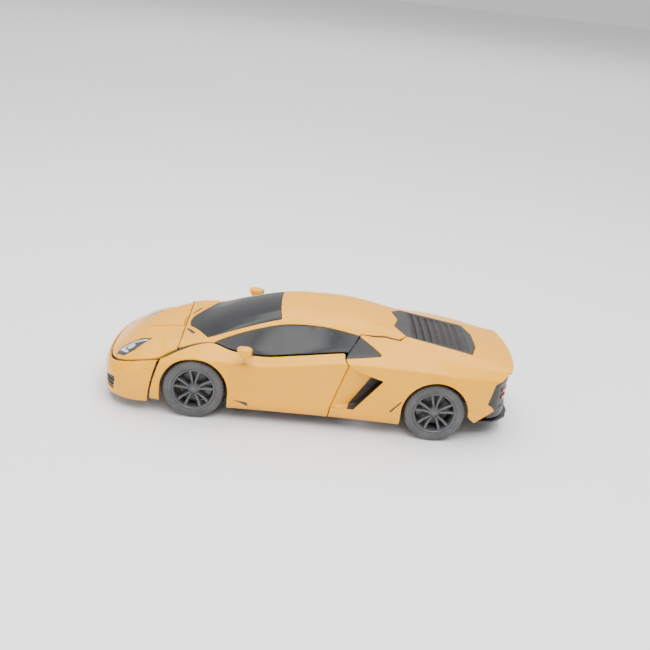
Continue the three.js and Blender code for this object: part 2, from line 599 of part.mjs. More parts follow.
// Rear axle with its drive gear.
function rearAxle() {
  const teeth = 18;
  const gear = new THREE.Shape();
  for (let i = 0; i < teeth * 4; i += 1) {
    const angle = (i / (teeth * 4)) * 2 * Math.PI;
    const radius = i % 4 < 2 ? 11 : 9.4;
    gear[i === 0 ? 'moveTo' : 'lineTo'](radius * Math.cos(angle), radius * Math.sin(angle));
  }
  const disc = new THREE.ExtrudeGeometry(gear, { depth: 5, bevelEnabled: false })
    .rotateX(Math.PI / 2).translate(REAR_AXLE_X, -15, AXLE_Z);
  return joined(rodY(REAR_AXLE_X, AXLE_Z, SHAFT_RADIUS, -63, 63), disc);
}

function driveMotor() {
  const x = REAR_AXLE_X + 17;
  return joined(rodY(x, AXLE_Z, 8, -10, 24), rodY(x, AXLE_Z, 3.4, -22, -9, 16), rodY(x, AXLE_Z, 3, 23, 27, 16));
}

function liftMotor() {
  return joined(block(-124, -110, -11, 11, 40.4, 57), rodX(0, 49, 8, -111, -88), rodX(0, 49, 3, -89, -85, 16));
}

// ---- legs: side frames that hinge on the drive base and slide inside the torso ----
function legFrame() {
  const plate = sidePrism([
    [-149, 31.2], [-136, 31.2], [-80, 36], [-64, 42], [6, 42], [6, 50], [-66, 50], [-90, 47], [-149, 44.8],
  ], 38, 42);
  const eye = rodY(TAIL_PIVOT.x, TAIL_PIVOT.z, 6.8, 37, 43, 24);
  return cut(joined(plate, eye), rodY(TAIL_PIVOT.x, TAIL_PIVOT.z, HOLE_RADIUS, 30, 50));
}

// ---- torso: chassis and front subframe ----
const BATTERY_BAY = { x0: -42, x1: 12, y: 24 };

function chassisTub() {
  const shell = cut(block(-60, 62, -47.5, 47.5, 9, 40), block(-58, 60, -45.3, 45.3, 11, 50));
  const bay = block(BATTERY_BAY.x0, BATTERY_BAY.x1, -BATTERY_BAY.y, BATTERY_BAY.y, 5, 13);
  const soundSlots = [-9, -3, 3, 9].map((y) => block(28, 48, y - 1, y + 1, 5, 13));
  const switchSlot = block(33, 47, -37, -32, 5, 13);
  const rearMouth = block(-62, -57, -44, 44, 20, 50);
  const neckMouth = block(58, 64, -12, 12, 20, 45);
  const base = cut(shell, bay, ...soundSlots, switchSlot, rearMouth, neckMouth);
  const guide = cut(block(-34, -22, 36, 46.5, 36, 53.5), block(-36, -20, 37.4, 42.6, 41.4, 50.6));
  return joined(base, guide, mirrored(guide));
}

// Box with a neck guide, steering yokes with their kingpins, shoulder pins and chest hinge.
function frontSubframe() {
  const neckGuide = block(63, 92, -9, 9, 18, 39);
  const crossPlates = [block(63, 67, -30, 30, 18, 30), block(86, 91, -30, 30, 18, 30)];
  const half = joined(
    block(62.4, 134, 24, 30, 18, 30),
    block(87.5, 95.5, 29, 49, 34.5, 37.5), block(87.5, 95.5, 29, 33, 29, 37.5),
    block(87.5, 95.5, 29, 49, 10, 13), block(87.5, 95.5, 26, 33, 10, 19),
    rodZ(FRONT_AXLE_X, KINGPIN_Y, SHAFT_RADIUS - 0.2, 12, 36),
    block(127, 133, 29, 61, 18, 22), block(127, 133, 29, 61, 37.6, 41), block(127, 133, 29, 34, 20, 40),
    rodZ(SHOULDER.x, SHOULDER.y, SHAFT_RADIUS - 0.2, 21, 38.5),
    block(88.5, 95.5, 28, 32, 29, 53),
    rodY(CHEST_PIVOT.x, CHEST_PIVOT.z, SHAFT_RADIUS - 0.2, 31, 39),
  );
  return cut(joined(neckGuide, ...crossPlates, half, mirrored(half)), block(60, 95, -5.5, 5.5, 23.5, 34.5));
}

const batteryPack = () => {
  const cell = (x) => rodY(x, 24, 7.2, -20, 20);
  const cells = [-33, -19.5, -6, 5].map(cell);
  return joined(block(-40, 10, -21, 21, 13, 24), ...cells);
};
const batteryCover = () => cut(
  block(BATTERY_BAY.x0 - 2.5, BATTERY_BAY.x1 + 2.5, -BATTERY_BAY.y - 2.5, BATTERY_BAY.y + 2.5, 6.8, 8.7),
  ...[-30, -22, -14, -6].map((x) => block(x, x + 3, -14, 14, 6, 7.6)),
);
const circuitBoard = () => joined(
  block(14, 58, -38, 30, 33, 34.6),
  block(22, 34, -12, 4, 34, 37), block(40, 50, -30, -20, 34, 39), rodZ(26, 18, 3.4, 34, 42, 16), rodZ(50, 10, 2.6, 34, 40, 16),
);
const speaker = () => joined(rodZ(38, 0, 14, 11.3, 14, 28), rodZ(38, 0, 8.5, 13, 21, 24));
const steeringMotor = () => joined(block(69, 84, 11, 22, 18.5, 36), rodZ(76.5, 16.5, 2, 16.6, 19, 16));

function knuckle() {
  const post = block(87.5, 95.5, 41.5, 49.2, 13.4, 34.1);
  const stub = rodY(FRONT_AXLE_X, AXLE_Z, SHAFT_RADIUS, 48, 61);
  const arm = joined(block(72.5, 89, 43, 48, 16.6, 20), rodZ(FRONT_AXLE_X - 15, KINGPIN_Y, 1.2, 11.8, 17, 12));
  return cut(joined(post, stub, arm), rodZ(FRONT_AXLE_X, KINGPIN_Y, HOLE_RADIUS - 0.2, 5, 45));
}

function tieRod() {
  const ring = rodZ(FRONT_AXLE_X - 15, KINGPIN_Y, 4, 12.4, 15.4, 20);
  const rack = block(73.5, 79.5, -12, 26, 12.4, 16);
  const bar = block(75, 78, -43, 43, 12.4, 15.4);
  const hole = rodZ(FRONT_AXLE_X - 15, KINGPIN_Y, HOLE_RADIUS, 8, 20);
  return cut(joined(bar, rack, ring, mirrored(ring)), hole, mirrored(hole));
}

const powerSwitch = () => joined(block(34, 41, -36.6, -32.4, 7, 13), block(34, 43.5, -38.5, -30.5, 11.5, 14));

// ---- head ----
function headShell() {
  const helmet = frontPrism([[-16, 21], [-11, 14], [11, 14], [16, 21], [16, 34], [12, 40], [-12, 40], [-16, 34]], 104, 128);
  const crown = frontPrism([[-10, 21], [-6, 16], [6, 16], [10, 21], [11, 36], [7, 38.5], [-7, 38.5], [-11, 36]], 127, 134.5);
  const earPod = joined(rodY(114, 26, 5, 15, 19, 20), block(113, 130, 16.5, 18.5, 24, 28));
  const faceHollow = frontPrism([[-9.5, 9], [9.5, 9], [9.5, 20], [-9.5, 20]], 100, 122);
  return cut(joined(helmet, crown, earPod, mirrored(earPod)), faceHollow, block(100, 112, -4.6, 4.6, 23.6, 32.4));
}

function faceMask() {
  const face = planPrism([[104.4, 0], [104.4, 4], [108, 7], [115, 9], [121.4, 9], [121.4, 0]], 14, 19.4);
  const whole = joined(face, mirrored(face));
  return cut(whole, block(114.8, 120.2, -8.2, 8.2, 4, 15.6), ...[-3, 0, 3].map((y) => block(105.5, 109.5, y - 0.6, y + 0.6, 4, 15)));
}

const eyeVisor = () => planPrism([[115.2, -7.8], [119.8, -7.8], [117.4, 0], [119.8, 7.8], [115.2, 7.8], [115.2, 0]], 13.2, 15.3);
const neckPost = () => joined(block(42, 106, -4.2, 4.2, 24.2, 31.8), block(98, 103.6, -8, 8, 20, 34));

// ---- arms ----
function armFrame() {
  const plate = sidePrism([
    [129, 25], [125, 26], [123.8, 36], [112, 45.2], [101.5, 49.9], [81, 50.6], [70, 46], [61, 38], [59, 26],
    [-17, 26], [-17, 42], [55, 42], [65, 49], [80, 52.6], [97, 52.2], [103, 51.2], [107, 49.8], [114, 46.9], [120.5, 41.2], [125.5, 36.4], [129, 36.4],
  ], 57, 60);
  const barrel = rodZ(SHOULDER.x, SHOULDER.y, 3.8, 22.5, 37.1, 18);
  const elbowPin = rodY(ELBOW.x, ELBOW.z, SHAFT_RADIUS, 49.4, 58);
  return cut(joined(plate, barrel, elbowPin), rodZ(SHOULDER.x, SHOULDER.y, HOLE_RADIUS, 10, 50));
}

function forearm() {
  const bar = sidePrism([[-17, 31], [-14, 28], [22, 26.4], [26, 28], [26, 40], [22, 41.6], [-14, 40.5], [-17, 37]], 49.6, 56);
  const palm = block(24, 36, 49.9, 55.7, 28.4, 39.6);
  const fingers = [0, 1, 2].map((i) => block(34, 44, 50.2, 55.4, 28.8 + i * 3.8, 31.8 + i * 3.8));
  return cut(joined(bar, palm, ...fingers), rodY(ELBOW.x, ELBOW.z, HOLE_RADIUS, 40, 60));
}

function mirror() {
  const pod = sidePrism([[46, 58.5], [49, 57.4], [56, 58.2], [59.5, 61], [57, 64.6], [51, 67], [46.4, 66]], 67.5, 77);
  const stalk = sidePrism([[49, 54.4], [55, 54.4], [54, 60], [49.5, 60]], 64, 69);
  return joined(pod, stalk);
}

// ---- assembly ----
add('drive_housing_lower', driveHousingLower(), trimBlack());
add('drive_housing_upper', driveHousingUpper(), frameGrey());
add('drive_motor', driveMotor(), steel());
add('lift_motor', liftMotor(), steel());
add('tail_hinge_pin', rodY(TAIL_PIVOT.x, TAIL_PIVOT.z, SHAFT_RADIUS, -45, 45), steel());
add('rear_diffuser', rearDiffuser(), trimBlack());
add('rear_axle', rearAxle(), steel());
for (const side of [1, -1]) wheel(side, REAR_AXLE_X, REAR_TYRE_Y, REAR_TYRE_WIDTH, 'rear');
for (const side of [1, -1]) wheel(side, FRONT_AXLE_X, FRONT_TYRE_Y, FRONT_TYRE_WIDTH, 'front');

addPair('leg_frame', legFrame(), frameGrey);
addPair('rear_quarter', rearQuarter(), bodyYellow);
addPair('quarter_window', quarterWindow(), glassBlack);
addPair('intake_scoop', wallPatch(scoopPoint, 4, 8, 1.4, 1, 0, new THREE.Vector3(0, -1, 0)), bodyYellow);
addPair('tail_light', tailLight(), lampRed);
add('rear_deck', rearDeck(), bodyYellow());
add('engine_cover', engineCover(), trimBlack());
add('tail_fascia', tailFascia(), trimBlack());

add('chassis_tub', chassisTub(), trimBlack());
add('front_subframe', frontSubframe(), frameGrey());
add('roof_shell', roofShell(), bodyYellow());
add('windshield', windshield(), glassBlack());
addPair('side_window', sideWindow(), glassBlack);
add('battery_pack', batteryPack(), visorBlue());
add('battery_cover', batteryCover(), trimBlack());
add('circuit_board', circuitBoard(), boardGreen());
add('speaker', speaker(), steel());
add('steering_motor', steeringMotor(), steel());
addPair('steering_knuckle', knuckle(), frameGrey);
add('tie_rod', tieRod(), frameGrey());
add('power_switch', powerSwitch(), robotRed());

add('hood', hood(), bodyYellow());
add('front_bumper', frontBumper(), bodyYellow());
add('grille_mesh', grilleMesh(), trimBlack());
addPair('headlight', headlight(), lampClear);

add('head_shell', headShell(), robotRed());
add('face_mask', faceMask(), rimGrey());
add('eye_visor', eyeVisor(), visorBlue());
add('neck_post', neckPost(), frameGrey());

addPair('side_panel', sidePanel(), bodyYellow);
addPair('mirror', mirror(), bodyYellow);
addPair('arm_frame', armFrame(), frameGrey);
addPair('forearm', forearm(), robotRed);

export default group;
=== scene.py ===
import json
import math
import bpy
import bmesh
import numpy as np
from mathutils import Matrix, Vector
from mathutils.geometry import delaunay_2d_cdt


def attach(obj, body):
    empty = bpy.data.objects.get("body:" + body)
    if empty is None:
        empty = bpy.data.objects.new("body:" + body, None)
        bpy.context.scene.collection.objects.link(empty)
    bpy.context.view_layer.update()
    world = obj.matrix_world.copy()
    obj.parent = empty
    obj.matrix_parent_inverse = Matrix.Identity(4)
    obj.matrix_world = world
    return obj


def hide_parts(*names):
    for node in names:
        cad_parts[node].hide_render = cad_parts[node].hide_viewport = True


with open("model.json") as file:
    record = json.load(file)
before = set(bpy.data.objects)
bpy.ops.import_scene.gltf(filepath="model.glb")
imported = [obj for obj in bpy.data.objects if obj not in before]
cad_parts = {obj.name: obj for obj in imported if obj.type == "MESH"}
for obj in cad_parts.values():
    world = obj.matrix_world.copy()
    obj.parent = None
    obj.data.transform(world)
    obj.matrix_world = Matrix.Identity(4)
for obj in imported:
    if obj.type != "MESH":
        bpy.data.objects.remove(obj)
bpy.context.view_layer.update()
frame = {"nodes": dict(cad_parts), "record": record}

# Transforming robot car. Shapes are worked out in millimetres in the CAD frame and stored in metres.
MM = 0.001
NODES = frame["nodes"]

# ---------------------------------------------------------------- camera and studio
def build_camera():
    data = bpy.data.cameras.new("camera")
    data.lens = 52.8
    data.sensor_width = 36
    camera = bpy.data.objects.new("camera", data)
    right = Vector((-0.99443, 0.00575, 0.10527))
    up = Vector((0.09636, -0.35552, 0.92969))
    back = Vector((0.04277, 0.93465, 0.35299))
    turn = Matrix((right, up, back)).transposed().to_4x4()
    camera.matrix_world = Matrix.Translation((0.024965, 0.753617, 0.349172)) @ turn
    bpy.context.scene.collection.objects.link(camera)
    bpy.context.scene.camera = camera


def area_light(name, place, target, size, power):
    data = bpy.data.lights.new(name, "AREA")
    data.shape = "RECTANGLE"
    data.size, data.size_y = size
    data.energy = power
    light = bpy.data.objects.new(name, data)
    light.location = place
    light.rotation_euler = (Vector(target) - Vector(place)).to_track_quat("-Z", "Y").to_euler()
    bpy.context.scene.collection.objects.link(light)


def build_studio():
    world = bpy.data.worlds.new("studio")
    world.use_nodes = True
    world.node_tree.nodes["Background"].inputs["Color"].default_value = (1, 1, 1, 1)
    world.node_tree.nodes["Background"].inputs["Strength"].default_value = 0.7
    bpy.context.scene.world = world
    area_light("key", (-0.25, 0.75, 1.35), (0, 0, 0.03), (1.3, 0.9), 28)
    area_light("top", (0.1, -0.25, 1.5), (0, 0, 0), (1.6, 1.2), 26)
    area_light("back", (-0.6, -3.0, 2.4), (-0.6, -3.4, 0), (5, 3), 90)
    area_light("fill", (1.2, 0.9, 0.5), (0.05, 0, 0.04), (0.9, 0.7), 6)


build_camera()
build_studio()

# ---------------------------------------------------------------- materials
# The noise seldom leaves this range.
NOISE_LOW, NOISE_HIGH = 0.3, 0.7


def new_material(name):
    material = bpy.data.materials.new(name)
    material.use_nodes = True
    return material, material.node_tree, material.node_tree.nodes["Principled BSDF"]


def noise(tree, scale, detail=3, rough=0.5):
    coords = tree.nodes.new("ShaderNodeTexCoord")
    node = tree.nodes.new("ShaderNodeTexNoise")
    node.inputs["Scale"].default_value = scale
    node.inputs["Detail"].default_value = detail
    node.inputs["Roughness"].default_value = rough
    tree.links.new(coords.outputs["Object"], node.inputs["Vector"])
    return node.outputs["Fac"]


def ramp(tree, value, stops):
    node = tree.nodes.new("ShaderNodeValToRGB")
    while len(node.color_ramp.elements) < len(stops):
        node.color_ramp.elements.new(0.5)
    for element, (place, colour) in zip(node.color_ramp.elements, stops):
        element.position = place
        element.color = (*colour, 1)
    tree.links.new(value, node.inputs["Fac"])
    return node.outputs["Color"]


def spread(tree, value, low, high):
    node = tree.nodes.new("ShaderNodeMapRange")
    node.inputs["From Min"].default_value = NOISE_LOW
    node.inputs["From Max"].default_value = NOISE_HIGH
    node.inputs["To Min"].default_value = low
    node.inputs["To Max"].default_value = high
    tree.links.new(value, node.inputs["Value"])
    return node.outputs["Result"]


def bump(tree, height, distance, under=None):
    node = tree.nodes.new("ShaderNodeBump")
    node.inputs["Distance"].default_value = distance
    node.inputs["Strength"].default_value = 1.0
    tree.links.new(height, node.inputs["Height"])
    if under:
        tree.links.new(under, node.inputs["Normal"])
    return node.outputs["Normal"]


def moulded(name, colour, rough, shift=0.06, grain=900, depth=0.00002, metal=0.0, coat=0.0, drift=0.06,
            wave=None, shine=0.5):
    """Moulded or painted surface: slow colour drift, uneven gloss, fine grain and a slow waviness."""
    material, tree, shader = new_material(name)
    darker = tuple(c * (1 - shift) for c in colour)
    lighter = tuple(min(1, c * (1 + shift)) for c in colour)
    tree.links.new(ramp(tree, noise(tree, 28, 4), [(NOISE_LOW, darker), (NOISE_HIGH, lighter)]),
                   shader.inputs["Base Color"])
    tree.links.new(spread(tree, noise(tree, 160, 4, 0.6), rough - drift, rough + drift),
                   shader.inputs["Roughness"])
    normal = bump(tree, noise(tree, grain, 2), depth)
    if wave:
        normal = bump(tree, noise(tree, 60, 1), wave, under=normal)
    tree.links.new(normal, shader.inputs["Normal"])
    shader.inputs["Metallic"].default_value = metal
    shader.inputs["Coat Weight"].default_value = coat
    shader.inputs["Specular IOR Level"].default_value = shine
    shader.inputs["Coat Roughness"].default_value = 0.06
    return material


def tyre_rubber():
    material, tree, shader = new_material("tyre_rubber")
    tree.links.new(ramp(tree, noise(tree, 90, 5, 0.65),
                        [(0.3, (0.052, 0.052, 0.055)), (0.75, (0.100, 0.098, 0.096))]),
                   shader.inputs["Base Color"])
    tree.links.new(spread(tree, noise(tree, 300, 3), 0.62, 0.85), shader.inputs["Roughness"])
    tree.links.new(bump(tree, noise(tree, 1500, 3), 0.00006), shader.inputs["Normal"])
    return material


def woven_mesh(name):
    """Dark grille plastic with a fine hexagon-like pattern of pits; painted shade makes the pits darker where
    the bump sinks them.
    """
    material, tree, shader = new_material(name)
    coords = tree.nodes.new("ShaderNodeTexCoord")
    cells = tree.nodes.new("ShaderNodeTexVoronoi")
    cells.inputs["Scale"].default_value = 420
    cells.inputs["Randomness"].default_value = 0.15
    tree.links.new(coords.outputs["Object"], cells.inputs["Vector"])
    distance = cells.outputs["Distance"]
    # Painted shade: the colour darkens towards each cell's centre, where the bump sinks the pits.
    tree.links.new(ramp(tree, distance, [(0.25, (0.006, 0.006, 0.007)), (0.5, (0.045, 0.043, 0.042))]),
                   shader.inputs["Base Color"])
    tree.links.new(spread(tree, noise(tree, 200), 0.4, 0.6), shader.inputs["Roughness"])
    tree.links.new(bump(tree, distance, 0.0004), shader.inputs["Normal"])
    return material


def floor_material():
    material, tree, shader = new_material("pale_floor")
    tree.links.new(ramp(tree, noise(tree, 3, 2), [(0.3, (0.86, 0.86, 0.865)), (0.7, (0.90, 0.90, 0.90))]),
                   shader.inputs["Base Color"])
    tree.links.new(spread(tree, noise(tree, 40), 0.5, 0.62), shader.inputs["Roughness"])
    return material


MAT = {
    "body_yellow": moulded("body_yellow", (0.88, 0.385, 0.0), 0.25, 0.035, 1100, 0.000012, coat=0.14,
                           wave=0.0001, shine=0.24),
    "smoked_glass": moulded("smoked_glass", (0.016, 0.0164, 0.018), 0.13, 0.2, 700, 0.000006, drift=0.04,
                            shine=0.28),
    "trim_black": moulded("trim_black", (0.022, 0.020, 0.019), 0.42, 0.2, 1300, 0.00006),
    "frame_grey": moulded("frame_grey", (0.070, 0.073, 0.080), 0.48, 0.12, 1200, 0.00005),
    "rim_grey": moulded("rim_grey", (0.088, 0.089, 0.094), 0.38, 0.12, 1200, 0.00003, metal=0.3),
    "steel": moulded("steel", (0.46, 0.47, 0.48), 0.28, 0.08, 900, 0.00002, metal=1.0),
    "lamp_clear": moulded("lamp_clear", (0.62, 0.66, 0.68), 0.12, 0.05, 700, 0.00001, coat=0.6),
    "lamp_red": moulded("lamp_red", (0.36, 0.012, 0.010), 0.16, 0.15, 600, 0.00002, coat=0.7),
    "visor_blue": moulded("visor_blue", (0.02, 0.22, 0.62), 0.14, 0.1, 700, 0.00002, coat=0.6),
    "robot_red": moulded("robot_red", (0.30, 0.018, 0.014), 0.3, 0.1, 1000, 0.00003, coat=0.3),
    "board_green": moulded("board_green", (0.015, 0.12, 0.05), 0.4, 0.2, 500, 0.00005, coat=0.3),
    # Painted shade: near-black, darker than the black trim, for pieces set in seams and grooves so that they
    # read as the shade inside them.
    "seam_shade_black": moulded("seam_shade_black", (0.006, 0.006, 0.0065), 0.62, 0.3, 1500, 0.00004),
    "brake_iron": moulded("brake_iron", (0.075, 0.072, 0.070), 0.42, 0.2, 800, 0.00004, metal=0.7),
    "lamp_dark": moulded("lamp_dark", (0.030, 0.032, 0.036), 0.12, 0.2, 600, 0.00001, coat=0.35, drift=0.05),
    "tyre_black": tyre_rubber(),
    "grille": woven_mesh("grille_plastic"),
}

# ---------------------------------------------------------------- body section lines
SILL_INNER = [(128, 60, 10), (93, 63, 9.5), (41, 63, 9.5), (-20, 63, 9.5), (-100, 64, 9.5), (-135, 62, 10.5),
              (-150, 55, 15), (-168, 48, 18)]
SILL = [(128, 65, 14), (93, 68.5, 14), (41, 68.5, 15), (-20, 68.5, 15), (-100, 70.5, 15), (-135, 66.5, 17),
        (-150, 60, 20), (-168, 51, 22)]
WAIST = [(128, 66.5, 30), (93, 70, 36), (41, 68, 33), (-20, 67.5, 36), (-60, 71, 38), (-100, 72.7, 40),
         (-135, 69, 37), (-150, 61.5, 35), (-168, 52.5, 34)]
SHOULDER_LINE = [(128, 65, 39), (120, 66, 43.5), (107, 67.5, 49.5), (93, 68.5, 52.5), (72, 69, 52),
                 (41, 68.3, 50), (-28, 69, 59.5), (-60, 70.5, 60.5), (-100, 71, 59.5), (-130, 67.5, 56.5),
                 (-150, 60.5, 53.5), (-168, 52, 53)]
BELT = [(128, 61, 43), (120, 61.5, 46.5), (107, 57.2, 53.8), (93, 50.5, 58), (80, 49, 59.5), (65, 55, 56.5),
        (41, 60, 55), (10, 60, 58.8), (-24, 58, 63.5), (-55, 55.5, 65), (-75, 55, 66), (-100, 56, 65),
        (-130, 54, 61.5), (-150, 50, 58.5), (-168, 46, 57.5)]
ROOF_RAIL = [(128, 36, 50.5), (107, 40, 56.5), (89, 43, 59), (58, 40.5, 70.2), (26, 36.5, 79.7), (0, 36, 82),
             (-40, 34, 80.5), (-70, 33, 74.5), (-130, 35.5, 64), (-168, 37, 57)]
CENTRE = [(128, 0, 51.5), (104, 0, 56.5), (66, 0, 70.5), (28, 0, 82), (0, 0, 83.97), (-40, 0, 82.5),
          (-70, 0, 75.8), (-136, 0, 63.8), (-168, 0, 57.5)]
ROUNDING = np.array([0.25, 0.35, 0.5, 0.16, 0.22, 0.2, 0.7])
WHEEL_X = {"front": 91.5, "rear": -101.0}
AXLE_Z = 24.5
ARCH_RADIUS = 27.0
SIDE_TOP_V = 4.98
WHEEL_WIDTH = {"front": 17, "rear": 20}
WHEEL_Y = {"front": 59, "rear": 60}


def station_curve(stations):
    rows = sorted(stations)
    xs = np.array([r[0] for r in rows], float)
    vs = np.array([r[1:] for r in rows], float)
    span = np.diff(xs)
    slope = np.diff(vs, axis=0) / span[:, None]
    inner = (slope[:-1] * span[1:, None] + slope[1:] * span[:-1, None]) / (span[:-1] + span[1:])[:, None]
    tangent = np.vstack([slope[:1], inner, slope[-1:]])

    def value(x):
        x = np.clip(x, xs[0], xs[-1])
        i = np.clip(np.searchsorted(xs, x, side="right") - 1, 0, len(xs) - 2)
        t = ((x - xs[i]) / span[i])[:, None]
        h = span[i][:, None]
        return ((1 + 2 * t) * (1 - t) ** 2 * vs[i] + t * (1 - t) ** 2 * h * tangent[i]
                + t * t * (3 - 2 * t) * vs[i + 1] + t * t * (t - 1) * h * tangent[i + 1])
    return value


CURVES = [station_curve(line) for line in (SILL_INNER, SILL, WAIST, SHOULDER_LINE, BELT, ROOF_RAIL, CENTRE)]


def half_skin(x, v):
    """Points of the left half of the body skin; v runs from 0, the inner sill, to 6, the centre line."""
    x = np.asarray(x, float)
    v = np.asarray(v, float)
    lines = np.stack([curve(x) for curve in CURVES] + [np.zeros((len(x), 2))])
    soft = ROUNDING[6]
    lines[6] = lines[5] + (lines[6] - lines[5]) * [1, 1 / (1 - soft / 2)]
    lines[7] = lines[5] * [-1, 1]
    row = np.arange(len(x))
    near = np.clip(np.floor(v + 0.5).astype(int), 0, 6)
    width = ROUNDING[near]
    rounded = (near > 0) & (np.abs(v - near) < width)
    k = np.clip(near, 1, 6)
    before = lines[k, row] + (lines[k - 1, row] - lines[k, row]) * width[:, None]
    after = lines[k, row] + (lines[k + 1, row] - lines[k, row]) * width[:, None]
    t = ((v - near + width) / (2 * width))[:, None]
    bend = (1 - t) ** 2 * before + 2 * t * (1 - t) * lines[k, row] + t * t * after
    i = np.clip(np.floor(v).astype(int), 0, 5)
    flat = lines[i, row] + (lines[i + 1, row] - lines[i, row]) * (v - i)[:, None]
    return np.column_stack([x, np.where(rounded[:, None], bend, flat)])


def arch_lip(points):
    """The wheel arches stand a little proud of the skin along their edge."""
    out = points.copy()
    for centre in WHEEL_X.values():
        reach = np.hypot(points[:, 0] - centre, np.maximum(points[:, 2] - AXLE_Z, 0)) - ARCH_RADIUS
        rise = np.clip(1 - reach / 4.2, 0, 1)
        side = (points[:, 2] < 56) & (points[:, 2] > 10)
        out[:, 1] += np.where(side, 0.55 * rise * rise * (3 - 2 * rise), 0)
    return out


def side_surface(p):
    return arch_lip(half_skin(p[:, 0], p[:, 1]))


def across_surface(p):
    points = half_skin(p[:, 0], 6 - np.abs(p[:, 1]))
    points[:, 1] *= np.where(p[:, 1] < 0, -1, 1)
    return points


def search(value, target, low, high, rising):
    low = np.full(len(target), low, float)
    high = np.full(len(target), high, float)
    for _ in range(34):
        middle = (low + high) / 2
        less = (value(middle) < target) == rising
        low = np.where(less, middle, low)
        high = np.where(less, high, middle)
    return (low + high) / 2


# ---------------------------------------------------------------- outlines
def dense(points, step=0.9):
    points = np.asarray(points, float)
    out = [points[:1]]
    for a, b in zip(points[:-1], points[1:]):
        n = max(1, int(math.ceil(np.linalg.norm(b - a) / step)))
        t = np.linspace(0, 1, n + 1)[1:, None]
        out.append(a + (b - a) * t)
    return np.vstack(out)


def running_length(points):
    return np.concatenate([[0], np.cumsum(np.linalg.norm(np.diff(points, axis=0), axis=1))])


def smooth(points, step=0.9):
    """Centripetal curve through the points."""
    p = np.asarray(points, float)
    p = np.vstack([2 * p[0] - p[1], p, 2 * p[-1] - p[-2]])
    out = [p[1:2]]
    for i in range(1, len(p) - 2):
        p0, p1, p2, p3 = p[i - 1:i + 3]
        t0 = 0
        t1 = t0 + np.linalg.norm(p1 - p0) ** 0.5
        t2 = t1 + np.linalg.norm(p2 - p1) ** 0.5
        t3 = t2 + np.linalg.norm(p3 - p2) ** 0.5
        n = max(2, int(math.ceil(np.linalg.norm(p2 - p1) / step)))
        t = np.linspace(t1, t2, n + 1)[1:, None]
        a1 = (t1 - t) / (t1 - t0) * p0 + (t - t0) / (t1 - t0) * p1
        a2 = (t2 - t) / (t2 - t1) * p1 + (t - t1) / (t2 - t1) * p2
        a3 = (t3 - t) / (t3 - t2) * p2 + (t - t2) / (t3 - t2) * p3
        b1 = (t2 - t) / (t2 - t0) * a1 + (t - t0) / (t2 - t0) * a2
        b2 = (t3 - t) / (t3 - t1) * a2 + (t - t1) / (t3 - t1) * a3
        out.append((t2 - t) / (t2 - t1) * b1 + (t - t1) / (t2 - t1) * b2)
    return np.vstack(out)


def from_side(points):
    """Side view points (x, z) as (x, v)."""
    points = np.asarray(points, float)
    v = search(lambda m: half_skin(points[:, 0], m)[:, 2], points[:, 1], 0.0, SIDE_TOP_V, True)
    return np.column_stack([points[:, 0], v])


def from_plan(points, low=3.0):
    """Plan points (x, y) as (x, v)."""
    points = np.asarray(points, float)
    v = search(lambda m: half_skin(points[:, 0], m)[:, 1], points[:, 1], low, 6.0, False)
    return np.column_stack([points[:, 0], v])


def to_across(points):
    return np.column_stack([points[:, 0], 6 - points[:, 1]])


def both_sides(half):
    other = half[::-1] * [1, -1]
    return np.vstack([half, other])


def loop(surface, parts, radius=1.3, corner=0.32):
    """One closed outline from its parts, with its corners rounded to a radius in millimetres."""
    p = np.vstack([np.asarray(part, float) for part in parts])
    at = surface(p)
    keep = np.linalg.norm(at - np.roll(at, 1, 0), axis=1) > 0.05
    p = p[keep]
    at = at[keep]
    n = len(p)
    before = at - np.roll(at, 1, 0)
    after = np.roll(at, -1, 0) - at
    cosine = (before * after).sum(1) / np.linalg.norm(before, axis=1) / np.linalg.norm(after, axis=1)
    turn = np.arccos(np.clip(cosine, -1, 1))
    start = int(np.argmin(turn))
    p, at, turn = np.roll(p, -start, 0), np.roll(at, -start, 0), np.roll(turn, -start)
    p = np.vstack([p, p[:1]])
    at = np.vstack([at, at[:1]])
    s = running_length(at)
    corners = [i for i in range(1, n) if turn[i] > corner]
    rows = []
    cut = np.zeros(n + 1, bool)
    for c, i in enumerate(corners):
        back = s[i] - (s[corners[c - 1]] if c else 0)
        ahead = (s[corners[c + 1]] if c + 1 < len(corners) else s[-1]) - s[i]
        reach = min(radius * math.tan(turn[i] / 2), 0.46 * back, 0.46 * ahead)
        a = np.array([np.interp(s[i] - reach, s, p[:, k]) for k in range(2)])
        b = np.array([np.interp(s[i] + reach, s, p[:, k]) for k in range(2)])
        weight = math.cos(turn[i] / 2)
        steps = max(3, int(math.ceil(turn[i] / 0.28)))
        for t in np.linspace(0, 1, steps + 1):
            low, mid, high = (1 - t) ** 2, 2 * weight * t * (1 - t), t * t
            rows.append((s[i] + (2 * t - 1) * reach, (low * a + mid * p[i] + high * b) / (low + mid + high)))
        cut |= np.abs(s - s[i]) < reach + 0.12
    rows += [(s[i], p[i]) for i in range(n) if not cut[i]]
    rows.sort(key=lambda row: row[0])
    out = np.array([row[1] for row in rows])
    at = surface(out)
    return out[np.linalg.norm(at - np.roll(at, 1, 0), axis=1) > 0.03]


# ---------------------------------------------------------------- shells with rounded edges
def frames(surface, p, sign):
    """Position, both derivatives and the outward unit normal."""
    step = np.array([[1e-4, 0], [0, 1e-4]]) * np.array(surface.scale)[:, None]
    at = surface.f(p)
    du = (surface.f(p + step[0]) - surface.f(p - step[0])) / (2 * step[0, 0])
    dv = (surface.f(p + step[1]) - surface.f(p - step[1])) / (2 * step[1, 1])
    normal = np.cross(du, dv)
    normal /= np.linalg.norm(normal, axis=1)[:, None]
    return at, du, dv, normal * sign


class Surface:
    """A parametric surface in millimetres; scale is the size of one parameter step worth taking."""
    def __init__(self, f, scale, sign):
        self.f = f
        self.scale = scale
        self.sign = sign


SIDE = Surface(side_surface, (1, 0.05), -1)
ACROSS = Surface(across_surface, (1, 0.05), 1)


